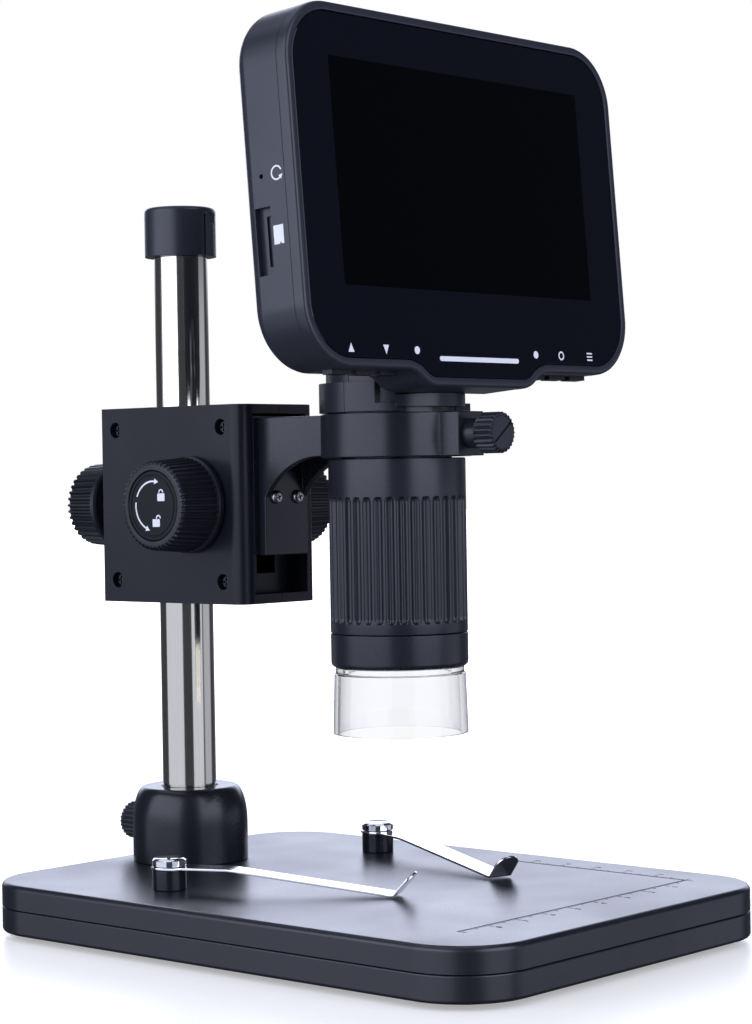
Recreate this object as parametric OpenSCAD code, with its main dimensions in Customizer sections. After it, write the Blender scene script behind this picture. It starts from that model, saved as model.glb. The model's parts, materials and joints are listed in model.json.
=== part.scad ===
// Digital microscope with its own screen: a camera head with a 4.3 inch display
// stands in a clamp ring, on an arm that a rack and pinion raises and lowers.
// The rack's housing slides on a steel column, which stands on a flat base.
// +X is the user's right, the user sits at -Y, and +Z is up.
// The origin is under the middle of the object's box, on the table.

/* [Base] */
// Width of the base, left to right
base_w = 120.6; // [110:0.2:135]
// Length of the base, front to back
base_l = 169.2; // [160:0.2:185]
// Radius of the base's corners
base_corner = 18; // [12:0.5:24]
// Height of the base's top face above the table
base_top_z = 14.5; // [13:0.1:18]
// Height of the seam between the two base shells
base_seam_z = 8.3; // [7:0.1:9]
// Radius along the top edge of the base
base_edge = 1.4; // [0.6:0.1:2]
// Wall of the base shells
base_wall = 2.4; // [2:0.1:3]
// Height that the rubber feet stand proud
foot_proud = 1.5; // [1:0.1:2]
// Diameter of a rubber foot
foot_d = 10.5; // [8:0.5:12]
// Thickness of the steel weight in the base
weight_t = 3; // [2:0.1:3.2]

/* [Column] */
// Diameter of the column
column_d = 14.5; // [13:0.1:16]
// Wall of the column's tube
column_wall = 1.5; // [1:0.1:2]
// From the base's middle back to the column
column_setback = 65.2; // [60:0.2:66]
// Height of the column's top above the table
column_top = 190; // [184:0.5:200]
// Diameter of the cap on the column
cap_d = 19.4; // [18.6:0.1:21]
// How far the cap reaches down over the column
cap_skirt = 11.3; // [8:0.1:14]
// Thickness of the cap above the column
cap_roof = 2; // [1.5:0.1:3]
// Diameter of the collar at the column's foot
collar_d = 31.3; // [28:0.1:34]
// Height of the collar
collar_h = 20.2; // [17:0.1:23]
// Diameter of the collar's flat top
collar_neck_d = 24.3; // [22:0.1:26]

/* [Housing] */
// Width of the rack housing
housing_w = 28.8; // [27:0.1:31]
// Height of the rack housing
housing_h = 52.4; // [50:0.1:56]
// Height of the housing's underside above the table
housing_z = 85.3; // [84:0.1:92]
// From the column's axis to the housing's front face
housing_front = 36.1; // [35.6:0.1:37]
// From the column's axis to the housing's back face
housing_back = 17.2; // [16:0.1:19]
// Wall of the rack housing
housing_wall = 2.6; // [2.2:0.1:3]
// Width of the channel in the housing's front
channel_w = 20; // [19:0.1:20.6]
// Diameter of a focus knob at the housing
knob_d = 25.6; // [22:0.1:28]
// Diameter of a focus knob at its outer end
knob_end_d = 23.4; // [20:0.1:24]
// Length of a focus knob
knob_l = 14; // [11:0.1:17]
// From the column's axis forward to the focus shaft
shaft_ahead = 17.5; // [17.3:0.1:18]
// From the housing's underside up to the focus shaft
shaft_up = 26.2; // [24:0.1:28]
// Diameter of the focus shaft
shaft_d = 5; // [4:0.1:5.6]
// Size of a rack tooth, as a gear module
tooth_module = 0.8; // [0.7:0.05:0.9]
// Diameter of the clamp knob behind the housing
clamp_d = 24; // [20:0.1:27]
// Length of the clamp knob
clamp_l = 12.3; // [10:0.1:15]
// Length of the bare hub between housing and clamp knob
clamp_hub = 6.3; // [4:0.1:8]

/* [Arm] */
// From the column's axis forward to the head's axis
head_reach = 77; // [75:0.1:79]
// Width of the arm
arm_w = 16; // [14:0.1:17]
// Thickness of the arm's two cheeks and its top
arm_t = 1.9; // [1.5:0.1:2]
// Height of the clamp ring's underside above the table
ring_z = 123; // [121:0.1:125]
// Height of the clamp ring
ring_h = 11; // [9:0.1:12]
// Wall of the clamp ring
ring_wall = 1.7; // [1.4:0.1:2.4]
// How far the focus drive lets the arm down
focus_travel = 10; // [4:0.5:10]
// Diameter of the thumbscrews' heads
thumb_d = 10.2; // [8:0.1:11]
// Length of the thumbscrews' heads
thumb_l = 6; // [4:0.1:7]

/* [Head] */
// Diameter of the head's barrel
barrel_d = 34.8; // [33:0.1:36]
// Diameter of the flange that rests on the clamp ring
flange_d = 38.8; // [37:0.1:40]
// Height of the flange's top above the table
flange_top = 136.4; // [136:0.1:138]
// Height of the raised block's top above the table
block_top = 141.7; // [141:0.1:143]
// Height of the focus ring's underside above the table
grip_z = 78.8; // [77:0.1:80]
// Number of flutes around the focus ring
flute_count = 36; // [24:1:44]
// Depth of a flute
flute_depth = 1.1; // [0.6:0.1:1.4]
// Height of the nose's underside above the table
nose_z = 70.2; // [69:0.1:72]
// Height of the clear shroud's rim above the table
shroud_z = 53.3; // [52:0.1:58]
// Diameter of the shroud at its rim
shroud_d = 34.2; // [33:0.1:35]
// Wall of the shroud
shroud_wall = 2.2; // [1.6:0.1:2.6]

/* [Display] */
// From the picture's end out to the display's side
screen_side = 14.7; // [13.5:0.1:18]
// Height of the display's housing without its chin
display_h = 86; // [84:0.2:92]
// Depth of the display's housing
display_t = 16.8; // [16:0.1:20]
// Radius of the display's corners
display_corner = 15; // [10:0.5:18]
// Radius around the back of the display
display_edge = 3.5; // [1:0.1:4]
// Width of the rim around the glass
rim_w = 2.2; // [1.6:0.1:3]
// Wall of the display's housing
display_wall = 2; // [1.6:0.1:2.4]
// How far the chin reaches below the rest
chin_drop = 4; // [2:0.1:4.4]
// Half the width of the chin's flat bottom
chin_flat = 19.5; // [16:0.1:22]
// Angle at which the display leans back
display_lean = 4.55; // [2:0.05:7]
// Height of the screen's middle above the table
screen_z = 189.8; // [189:0.1:194]
// From the head's axis forward to the screen's middle
screen_ahead = 24.25; // [23:0.05:25]
// Width of the picture, as on a 4.3 inch panel
screen_w = 95; // [90:0.1:108]
// Height of the picture
screen_h = 53.9; // [50:0.1:56]
// Height that the keys stand out of the display's underside
key_proud = 0.9; // [0.5:0.1:1.4]

/* [Clips] */
// From the base's side in to a clip's post
post_in = 20.5; // [16:0.1:26]
// From the base's middle back to a clip's post
post_back = 32.1; // [28:0.1:36]
// Diameter of a clip's post
post_d = 8.6; // [7:0.1:10]
// Height of a clip's post
post_h = 5.2; // [4:0.1:6]
// Length of a clip's strip, from its pivot to the bend
clip_l = 60; // [50:0.5:64]
// Width of a clip's strip
clip_w = 6.6; // [5:0.1:8]
// Thickness of a clip's strip
clip_t = 0.6; // [0.4:0.1:0.8]
// Angle that the left clip points inwards
clip_left_angle = 24.6; // [10:0.1:35]
// Angle that the right clip points inwards
clip_right_angle = 17; // [10:0.1:35]

/* [Fits] */
// Gap all round between a piece that turns and its bore
run_gap = 0.05; // [0.02:0.01:0.08]
// Gap between pieces that slide or pass one another
slide_gap = 0.3; // [0.2:0.05:0.35]

/* [Hidden] */
$fn = 96;
cut = 0.1; // how far a cutter reaches past the face that it opens
far = 300; // larger than the part, for cutters that take away one side

// Base, worked out
clamp_reach = housing_back + clamp_hub + clamp_l;
base_y = (base_l / 2 - column_setback - clamp_reach) / 2;
base_under = foot_proud;
roof = base_wall;
boss_d = 8;
boss_in_x = 10;
boss_in_y = 36;
screw_d = 3;
head_d = 5.6;
head_h = 2;
foot_inset = foot_d / 2 + 9;
column_y = base_y + column_setback;
head_y = column_y - head_reach;
post_y = base_y + post_back;
post_out = base_w / 2 - post_in;

// Column, worked out
collar_floor = 2;
tube_z = base_top_z + collar_floor + slide_gap / 2;
collar_straight = collar_h / 2;
collar_screw_pcd = (collar_d + column_d) / 2;
thumb_z = base_top_z + 9;
thumb_neck_d = 5;
thumb_screw_d = 4;
cap_edge = 1.2;
lock_l = 6.2;
lock_neck = 1.2;
cap_split = 0.6;

// Housing, worked out
housing_top = housing_z + housing_h;
housing_corner = 4.2;
front_y = column_y - housing_front;
flange_t = 2.5;
shaft_y = column_y - shaft_ahead;
shaft_z = housing_z + shaft_up;
pinion_teeth = 15;
pitch_r = tooth_module * pinion_teeth / 2;
tooth_pitch = PI * tooth_module;
rack_back_y = shaft_y - pitch_r;
bush_d = shaft_d + 3;
guide_wall = 1.6;
guide_h = 6;
inner_w = housing_w - 2 * housing_wall;
divider_y = shaft_y + pitch_r + tooth_module + 0.5;
slide_wing = 2.6;
slide_w = channel_w - 2 * slide_gap;
slide_front_y = front_y + slide_gap;
slide_wing_y = front_y + flange_t + slide_gap;
rack_root_y = rack_back_y - 1.25 * tooth_module;
slide_back_y = slide_wing_y + slide_wing;
slide_top = housing_top - housing_wall - 1.5 * slide_gap;
slide_h = slide_top - housing_z - housing_wall - slide_gap - focus_travel;
case_screw_in = 5.9;
case_screw_front = 7.6;
case_screw_d = 4.1;
case_screw_l = 18;
rack_top = housing_top - case_screw_in - 2.2;
rack_low = housing_z + case_screw_in + 2.2 + focus_travel;
knob_gap = 0.4;
cap_disc_d = knob_end_d - 5;

// Arm, worked out
barrel_r = barrel_d / 2;
ring_r = barrel_r + run_gap;
ring_out = ring_r + ring_wall;
ring_top = ring_z + ring_h;
arm_back_y = slide_front_y - 2.6;
arm_low_z = 98;
arc_r = 22.6;
cheek_drop = 16;
arm_screw_x = 4;
arm_screw_up = 15.2;
lug_w = 10;
lug_y = head_y - ring_out - 5.4;
thumb_ring_z = ring_z + ring_h / 2;
washer_l = 4;

// Head, worked out
spigot_r = barrel_r - 2.4;
sleeve_r = barrel_r - 3.4;
sleeve_wall = 2;
cell_r = sleeve_r - sleeve_wall - run_gap;
grip_top = ring_z - slide_gap;
flute_low = grip_z + 2.6;
flute_top = grip_z + 34.4;
flute_w = 2;
flange_z = ring_top + slide_gap;
neck_r = barrel_r + 0.2;
block_front_y = head_y - 8.4;
hump_top = block_top + 27;
neck_screw_in = 10;
shell_t = 2;
nose_top = grip_z - 0.15;
cell_travel = 3;
lens_r = 7;
lens_h = 4;
cell_z = grip_z + 12;
cell_h = 20;
led_count = 8;
led_ring_r = 9.4;
led_bore_r = 5.5;
shroud_pull = 4;

// Display, worked out
display_w = screen_w + 2 * screen_side;
glass_w = display_w - 2 * rim_w;
glass_t = 1.5;
glass_seat = 0.15;
lip_w = 2.2;
frame_t = 2.8;
top_w = 39.7;
mid_w = top_w - display_h / 2;
low_w = top_w - display_h;
spigot_top = display_under() - 0.5;
chin_slope = 5;
chin_r = 4;
inner_t = display_t - display_wall;
key_w = 6.4;
key_deep = 3;
key_gap = 0.15;
key_travel = 0.4;
key_y = 6.5;
key_at = [-45.6, -37.1, -28.6, 28.6, 37.1, 45.6];
board_y = inner_t - 3.6;
lcd_rim_x = 5.25;
lcd_w = screen_w + 2 * lcd_rim_x;
display_post_d = 5.2;
boss_x = lcd_w / 2 + display_post_d / 2 + 0.45;
boss_top = top_w - 15;
boss_low = low_w + 15;
lcd_h = screen_h + 13.3;
board_h = 34;
battery_w = 64;
battery_h = 33;
battery_t = 6;
card_deep = 14;
usb_deep = 5;
usb_w_out = 7.6;
lcd_t = 3;
card_low = -24.1;
card_h = 15.8;
card_y = 8.1;
card_t = 5;
usb_w = -17;
reset_w = -1.1;
reset_y = 10.3;

// ---- Shared shapes ----

// Points along an arc about (x, y)
function arc(x, y, r, from, to, steps) =
    [for (i = [0:steps]) let (a = from + (to - from) * i / steps) [x + r * cos(a), y + r * sin(a)]];

// Half the cross-section of a slab: r out from the corner's centre, with a rounded top and bottom
function slab_section(r, h, top, bottom) = concat(
    [[0, 0]],
    bottom > 0 ? arc(r - bottom, bottom, bottom, -90, 0, 6) : [[r, 0]],
    top > 0 ? arc(r - top, h - top, top, 0, 90, 6) : [[r, h]],
    [[0, h]]
);

// A slab with round corners and, where asked, rounded top and bottom edges
module soft_slab(w, l, h, r, top = 0, bottom = 0) {
    section = slab_section(r, h, top, bottom);
    across = w - 2 * r;
    along = l - 2 * r;
    for (sx = [0, 1]) {
        for (sy = [0, 1]) {
            mirror([sx, 0, 0]) mirror([0, sy, 0])
                translate([across / 2, along / 2, 0])
                    rotate_extrude(angle = 90) polygon(section);
        }
        mirror([sx, 0, 0]) translate([across / 2, along / 2, 0])
            rotate([90, 0, 0]) linear_extrude(along) polygon(section);
        mirror([0, sx, 0]) translate([-across / 2, along / 2, 0])
            rotate([90, 0, 90]) linear_extrude(across) polygon(section);
    }
    translate([-across / 2, -along / 2, 0]) cube([across, along, h]);
}

// A flat plate with round corners
module plate(w, l, h, r) {
    linear_extrude(h) round_rect(w, l, r);
}

module round_rect(w, l, r) {
    polygon(concat(
        arc(w / 2 - r, l / 2 - r, r, 0, 90, 12), arc(r - w / 2, l / 2 - r, r, 90, 180, 12),
        arc(r - w / 2, r - l / 2, r, 180, 270, 12), arc(w / 2 - r, r - l / 2, r, 270, 360, 12)));
}

module tube(r_out, r_in, h) {
    difference() {
        cylinder(r = r_out, h = h);
        translate([0, 0, -cut]) cylinder(r = r_in, h = h + 2 * cut);
    }
}

// A solid turned about Z from pairs of radius and height
module turned(points) {
    rotate_extrude() polygon(points);
}

// Places its children at the four corners of a rectangle
module at_corners(x, y) {
    for (sx = [-1, 1]) {
        for (sy = [-1, 1]) {
            translate([sx * x, sy * y, 0]) children();
        }
    }
}

// A pan-head screw along Z with a cross recess: its head starts at z = 0 and its shank goes down
module screw(shank_d, shank_l, cap_d, cap_h) {
    difference() {
        union() {
            turned([[0, -shank_l], [shank_d / 2, -shank_l], [shank_d / 2, 0], [cap_d / 2, 0],
                    [cap_d / 2, cap_h * 0.5], [cap_d * 0.36, cap_h], [0, cap_h]]);
        }
        for (a = [0, 90]) {
            rotate([0, 0, a]) translate([-cap_d * 0.3, -cap_d * 0.07, cap_h * 0.4])
                cube([cap_d * 0.6, cap_d * 0.14, cap_h]);
        }
    }
}

// A knob along Z with straight grip flutes between two plain ends
module fluted_knob(r_low, r_end, l, flutes, depth) {
    difference() {
        turned([[0, 0], [r_low - 0.5, 0], [r_low, 0.5], [r_low, 1.6], [r_low - 0.3, 1.9],
                [r_end, l - 1], [r_end - 1, l], [0, l]]);
        for (i = [0:flutes - 1]) {
            rotate([0, 0, i * 360 / flutes]) translate([r_end + depth * 0.5, 0, 1.9])
                cylinder(r = depth, h = l, $fn = 16);
        }
    }
}

// A thumbscrew along Z: a fluted head, a plain collar below it and a threaded shank below that
module thumbscrew(l, collar_l, collar_r, shank_l) {
    difference() {
        turned([[0, -collar_l], [collar_r, -collar_l], [collar_r, 0], [thumb_d / 2 - 0.5, 0],
                [thumb_d / 2, 0.5], [thumb_d / 2, l - 0.8], [thumb_d / 2 - 0.8, l], [0, l]]);
        for (i = [0:23]) {
            rotate([0, 0, i * 15]) translate([thumb_d / 2 + 0.15, 0, 0.8])
                cylinder(r = 0.45, h = l, $fn = 16);
        }
    }
    translate([0, 0, -collar_l - shank_l]) cylinder(d = thumb_screw_d, h = shank_l);
}

// ---- Base ----

module base_outline(h, top = 0, bottom = 0) {
    translate([0, base_y, 0]) soft_slab(base_w, base_l, h, base_corner, top, bottom);
}

module base_top() {
    inner_w = base_w - 2 * base_wall;
    inner_l = base_l - 2 * base_wall;
    inner_h = base_top_z - base_seam_z - roof;
    color("#2b2d36") {
        difference() {
            translate([0, 0, base_seam_z]) base_outline(base_top_z - base_seam_z, base_edge);
            translate([0, base_y, base_seam_z - cut])
                plate(inner_w, inner_l, inner_h + cut, base_corner - base_wall);
            collar_holes(base_seam_z - cut, base_top_z + cut, screw_d / 2 + 0.2);
            for (side = [-1, 1]) {
                translate([side * post_out, post_y, base_seam_z - cut])
                    cylinder(d = screw_d, h = base_top_z);
            }
        }
        translate([0, base_y, base_seam_z]) at_corners(base_w / 2 - boss_in_x, base_l / 2 - boss_in_y)
            tube(boss_d / 2, screw_d / 2 - 0.2, inner_h + cut);
    }
}

// The three holes under the collar
module collar_holes(z_low, z_top, r) {
    for (a = [30, 150, 270]) {
        translate([0, column_y, z_low]) rotate([0, 0, a])
            translate([collar_screw_pcd / 2, 0, 0]) cylinder(r = r, h = z_top - z_low);
    }
}

module base_bottom() {
    inner_w = base_w - 2 * base_wall;
    inner_l = base_l - 2 * base_wall;
    color("#24252c") difference() {
        translate([0, 0, base_under]) base_outline(base_seam_z - base_under - 0.2, 0.5, 1);
        translate([0, base_y, base_under + base_wall])
            plate(inner_w, inner_l, base_seam_z, base_corner - base_wall);
        translate([0, base_y, 0]) {
            at_corners(base_w / 2 - boss_in_x, base_l / 2 - boss_in_y) base_screw_hole();
            translate([0, 0, base_under - cut]) at_corners(foot_x(), foot_y())
                cylinder(d = foot_d + 0.1, h = cut + 0.8);
        }
    }
}

module base_screw_hole() {
    translate([0, 0, base_under - cut]) cylinder(d = screw_d + 0.4, h = base_seam_z);
    translate([0, 0, base_under - cut]) cylinder(d = head_d + 0.6, h = cut + base_wall / 2);
}

function foot_x() = base_w / 2 - foot_inset;
function foot_y() = base_l / 2 - foot_inset;

module base_weight() {
    color("#7d8084") translate([0, base_y, base_under + base_wall])
        plate(base_w - 2 * boss_in_x - 2 * boss_d, base_l - 2 * boss_in_y, weight_t, 4);
}

module rubber_feet() {
    color("#17181b") translate([0, base_y, 0]) at_corners(foot_x(), foot_y())
        turned([[0, 0], [foot_d / 2 - 0.5, 0], [foot_d / 2, 0.5], [foot_d / 2, base_under + 0.8],
                [0, base_under + 0.8]]);
}

module base_screws() {
    color("#a9acb1") translate([0, base_y, base_under + base_wall / 2])
        at_corners(base_w / 2 - boss_in_x, base_l / 2 - boss_in_y)
            mirror([0, 0, 1]) screw(screw_d - 0.5, 8, head_d, base_wall / 2 - 0.1);
}

// ---- Column ----

module column_collar() {
    r = collar_d / 2;
    neck = collar_neck_d / 2;
    color("#26272e") translate([0, column_y, base_top_z]) difference() {
        turned(concat([[0, 0], [r, 0], [r, collar_straight]],
            [for (a = [10:10:90]) [neck + (r - neck) * cos(a),
                collar_straight + (collar_h - collar_straight) * sin(a)]],
            [[0, collar_h]]));
        translate([0, 0, collar_floor]) cylinder(r = column_d / 2 + run_gap, h = collar_h);
        translate([0, 0, thumb_z - base_top_z]) rotate([-90, 0, 0])
            cylinder(d = thumb_screw_d + 2 * run_gap, h = collar_d);
        translate([0, -column_y, -base_top_z]) collar_holes(base_top_z - cut, base_top_z + 8, screw_d / 2);
    }
}

module collar_screws() {
    z = base_top_z - roof - head_h;
    color("#a9acb1") for (a = [30, 150, 270]) {
        translate([0, column_y, z + head_h]) rotate([0, 0, a]) translate([collar_screw_pcd / 2, 0, 0])
            mirror([0, 0, 1]) screw(screw_d - 0.1, 9, head_d, head_h);
    }
}

module collar_thumbscrew() {
    color("#2e3038") translate([0, column_y + collar_d / 2 + slide_gap + lock_neck, thumb_z]) rotate([-90, 0, 0])
        thumbscrew(lock_l, lock_neck, 3.4, (collar_d - column_d) / 2 - 0.1);
}

module column_tube() {
    color("#c9cbcd") translate([0, column_y, tube_z])
        tube(column_d / 2, column_d / 2 - column_wall, column_top - tube_z);
}

module column_cap() {
    r = cap_d / 2;
    low = column_top - cap_skirt;
    color("#26272e") translate([0, column_y, low]) difference() {
        turned(concat([[0, 0], [r, 0]],
            arc(r - cap_edge, cap_skirt + cap_roof - cap_edge, cap_edge, 0, 90, 6),
            [[0, cap_skirt + cap_roof]]));
        translate([0, 0, -cut]) cylinder(d = column_d, h = cap_skirt + cut);
        // a pinch slot in the front, with a sunk screw near the top
        translate([-cap_split / 2, -cap_d, -cut]) cube([cap_split, cap_d - column_d / 4, cap_skirt]);
        translate([1.6, -r - cut, cap_skirt - 2.4]) cube([3.6, 1.4, 2.6]);
    }
}

// ---- Stage clips ----

module clip_posts() {
    color("#1d1e23") for (side = [-1, 1]) {
        translate([side * post_out, post_y, base_top_z])
            turned([[0, 0], [post_d / 2, 0], [post_d / 2, post_h - 0.4], [post_d / 2 - 0.4, post_h],
                    [1.3, post_h], [1.3, 2], [0, 2]]);
    }
}

module clip_buttons() {
    seat = post_h + clip_t + 2 * slide_gap / 3;
    color("#d9dbde") for (side = [-1, 1]) {
        translate([side * post_out, post_y, base_top_z])
            turned([[0, 2.2], [1.2, 2.2], [1.2, post_h], [1.6, post_h], [1.6, seat], [post_d / 2, seat],
                    [post_d / 2, seat + 1.2], [post_d / 2 - 0.8, seat + 1.9], [0, seat + 2.2]]);
    }
}

// How far up, square to a strip that falls by angle towards -y; and the upper corner where it bends
function clip_up(angle, l) = [-sin(angle) * l, cos(angle) * l];
function clip_bend(point, before, after) = point + clip_up((before + after) / 2, clip_t / cos((before - after) / 2));

// One spring clip along -y from its post: flat, then down to the stage, then a lifted tip
module clip_strip() {
    eye_r = clip_w / 2 + 1.3;
    flat = 16;
    low = base_top_z + slide_gap / 2;
    high = base_top_z + post_h + slide_gap / 3;
    slope = atan((high - low) / (clip_l - flat));
    tip_l = 7;
    tip_up = 48;
    first = [eye_r + 1, high];
    bend = [-flat, high];
    foot = [-clip_l, low];
    tip = foot + [-tip_l * cos(tip_up), tip_l * sin(tip_up)];
    whole = clip_l + tip_l * cos(tip_up);
    difference() {
        intersection() {
            rotate([90, 0, 90]) linear_extrude(2 * eye_r + 2, center = true) polygon([
                first, bend, foot, tip, tip + clip_up(-tip_up, clip_t),
                clip_bend(foot, slope, -tip_up), clip_bend(bend, 0, slope), first + [0, clip_t]
            ]);
            union() {
                cylinder(r = eye_r, h = 60);
                translate([0, -whole / 2, 0]) plate(clip_w, whole, 60, clip_w / 2 - 0.4);
            }
        }
        translate([0, 0, high - 1]) cylinder(r = 1.6 + run_gap, h = clip_t + 2);
    }
}

module clip_left() {
    color("#cfd1d4") translate([-post_out, post_y, 0]) rotate([0, 0, clip_left_angle]) clip_strip();
}

module clip_right() {
    color("#cfd1d4") translate([post_out, post_y, 0]) rotate([0, 0, -clip_right_angle]) clip_strip();
}

// ---- Rack housing on the column ----

// The housing's outline from above, with round front corners
module housing_outline(gap) {
    w = housing_w / 2 - gap;
    r = max(housing_corner - gap, 0.6);
    front = gap - housing_front;
    back = housing_back - gap;
    translate([0, column_y]) polygon(concat(
        [[w, back]], [[-w, back]],
        arc(r - w, front + r, r, 180, 270, 8), arc(w - r, front + r, r, 270, 360, 8)));
}

module housing_body() {
    inner_z = housing_z + housing_wall;
    inner_h = housing_h - 2 * housing_wall;
    difference() {
        translate([0, 0, housing_z]) linear_extrude(housing_h) housing_outline(0);
        // room for the slide and the rack, behind the two front flanges
        translate([-inner_w / 2, front_y + flange_t, inner_z])
            cube([inner_w, divider_y - front_y - flange_t, inner_h]);
        translate([-channel_w / 2, front_y - cut, inner_z]) cube([channel_w, flange_t + 2 * cut, inner_h]);
        // room for the column, and for its bushes at top and bottom
        translate([0, column_y, housing_z - cut]) cylinder(d = column_d + 1.2, h = housing_h + 2 * cut);
        for (z = [housing_z + 1, housing_top - 1 - guide_h]) {
            translate([0, column_y, z]) cylinder(r = column_d / 2 + guide_wall, h = guide_h);
        }
        // the clamp screw's hole
        translate([0, column_y, shaft_z]) rotate([-90, 0, 0])
            cylinder(d = thumb_screw_d + 2 + 2 * run_gap, h = housing_back + cut);
        translate([-housing_w, shaft_y, shaft_z]) rotate([0, 90, 0]) cylinder(d = bush_d, h = 2 * housing_w);
    }
}

// The four places of the screws that hold the two halves together
module at_case_screws() {
    for (y = [column_y + housing_back - case_screw_in + 0.5, front_y + case_screw_front]) {
        for (z = [housing_z + case_screw_in, housing_top - case_screw_in]) {
            translate([0, y, z]) children();
        }
    }
}

// Everything on one side of the middle
module side_space(side) {
    translate([side > 0 ? 0 : -far, -far, -far]) cube([far, 2 * far, 2 * far]);
}

module housing_left() {
    color("#33353f") difference() {
        intersection() {
            housing_body();
            side_space(-1);
        }
        at_case_screws() {
            translate([-housing_w / 2 - cut, 0, 0]) rotate([0, 90, 0]) cylinder(d = case_screw_d, h = 2.2);
            translate([-housing_w / 2, 0, 0]) rotate([0, 90, 0]) cylinder(d = screw_d - 0.6, h = housing_w);
        }
    }
}

module housing_right() {
    color("#30323b") difference() {
        intersection() {
            housing_body();
            side_space(1);
        }
        at_case_screws() rotate([0, 90, 0]) cylinder(d = screw_d - 0.8, h = 9);
    }
}

module housing_screws() {
    color("#8d9095") at_case_screws() translate([2.1 - housing_w / 2 - 0.8, 0, 0]) rotate([0, -90, 0])
        translate([0, 0, -0.8]) screw(screw_d - 0.8, case_screw_l, case_screw_d - 0.3, 0.8);
}

module guide_bushes() {
    color("#e4e2da") for (z = [housing_z + 1, housing_top - 1 - guide_h]) {
        translate([0, column_y, z])
            tube(column_d / 2 + guide_wall, column_d / 2 + run_gap, guide_h);
    }
}

module shaft_bushes() {
    color("#b9975b") for (side = [-1, 1]) {
        translate([side * (housing_w / 2 - housing_wall / 2), shaft_y, shaft_z]) rotate([0, 90, 0])
            translate([0, 0, -housing_wall / 2]) tube(bush_d / 2, shaft_d / 2 + run_gap, housing_wall);
    }
}

module clamp_knob() {
    tip = column_d / 2 + 0.2;
    color("#2b2d36") translate([0, column_y, shaft_z]) rotate([-90, 0, 0]) {
        translate([0, 0, housing_back + clamp_hub])
            fluted_knob(clamp_d / 2, clamp_d / 2 - 0.7, clamp_l, 40, 0.45);
        translate([0, 0, housing_back + 0.2]) cylinder(d = clamp_d * 0.72, h = clamp_hub);
        translate([0, 0, tip]) cylinder(d = thumb_screw_d + 2, h = housing_back + 1 - tip);
    }
}

// ---- Focus drive ----

module slide_block() {
    z = slide_top - slide_h;
    wing_w = inner_w - 2 * slide_gap;
    color("#1c1d22") difference() {
        translate([0, 0, z]) linear_extrude(slide_h) polygon([
            [-slide_w / 2, slide_front_y], [slide_w / 2, slide_front_y],
            [slide_w / 2, slide_wing_y], [wing_w / 2, slide_wing_y],
            [wing_w / 2, slide_back_y], [-wing_w / 2, slide_back_y],
            [-wing_w / 2, slide_wing_y], [-slide_w / 2, slide_wing_y]]);
        at_arm_screws() translate([0, -cut, 0]) rotate([-90, 0, 0]) cylinder(d = 2, h = 6);
    }
}

module at_arm_screws() {
    for (side = [-1, 1]) {
        translate([side * arm_screw_x, slide_front_y, arm_low_z + arm_screw_up]) children();
    }
}

module focus_rack() {
    half = tooth_pitch / 4 - 0.06;
    lean = tooth_module * tan(20);
    first = -floor((shaft_z - rack_low) / tooth_pitch - 0.1);
    last = floor((rack_top - shaft_z) / tooth_pitch - 1.1);
    root = -1.25 * tooth_module;
    color("#d8d2bd") translate([-3, 0, 0]) rotate([90, 0, 90]) linear_extrude(6) union() {
        translate([slide_back_y, rack_low]) square([rack_root_y - slide_back_y, rack_top - rack_low]);
        for (i = [first:last]) {
            z = shaft_z + (i + 0.5) * tooth_pitch;
            translate([rack_back_y, z]) polygon([
                [root - 0.05, -half - 1.3 * lean], [root, -half - 1.25 * lean],
                [0.85 * tooth_module, -half + 0.85 * lean], [0.85 * tooth_module, half - 0.85 * lean],
                [root, half + 1.25 * lean], [root - 0.05, half + 1.3 * lean]]);
        }
    }
}

module ring_arm() {
    half = arm_w / 2;
    back = arm_back_y;
    face = head_y + ring_out - 0.6;
    color("#2a2c35") difference() {
        union() {
            translate([0, head_y, ring_z]) cylinder(r = ring_out, h = ring_h);
            translate([-lug_w / 2, lug_y, ring_z]) cube([lug_w, head_y - lug_y, ring_h]);
            // the plate on the slide
            translate([-half, back, arm_low_z]) cube([arm_w, slide_front_y - back, ring_top - arm_low_z]);
            // the arm, with an arch under it and a hollow between its cheeks
            difference() {
                translate([-half, face, ring_z - cheek_drop])
                    cube([arm_w, back - face + cut, ring_h + cheek_drop]);
                translate([-arm_w, face + 1.2, ring_z - arc_r + 0.5]) rotate([0, 90, 0])
                    cylinder(r = arc_r, h = 2 * arm_w);
                translate([arm_t - half, head_y + ring_out + 1.4, ring_z - cheek_drop - 1])
                    cube([arm_w - 2 * arm_t, back - head_y - ring_out - 1.4, ring_h + cheek_drop + 1 - arm_t]);
            }
        }
        translate([0, head_y, ring_z - cut]) cylinder(r = ring_r, h = ring_h + 2 * cut);
        translate([0, head_y, thumb_ring_z]) rotate([90, 0, 0])
            cylinder(d = thumb_screw_d + 2 * run_gap, h = 3 * ring_out);
        at_arm_screws() translate([0, -far, 0]) rotate([-90, 0, 0]) cylinder(d = 2.3, h = 2 * far);
    }
}

module arm_screws() {
    color("#aeb1b5") at_arm_screws() translate([0, arm_back_y - slide_front_y, 0]) rotate([90, 0, 0])
        screw(1.9, 7, 3.6, 1.1);
}

module focus_shaft() {
    reach = housing_w / 2 + knob_gap + knob_l - 2.2;
    color("#b8babd") translate([-reach, shaft_y, shaft_z]) rotate([0, 90, 0])
        cylinder(d = shaft_d, h = 2 * reach);
}

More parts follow.
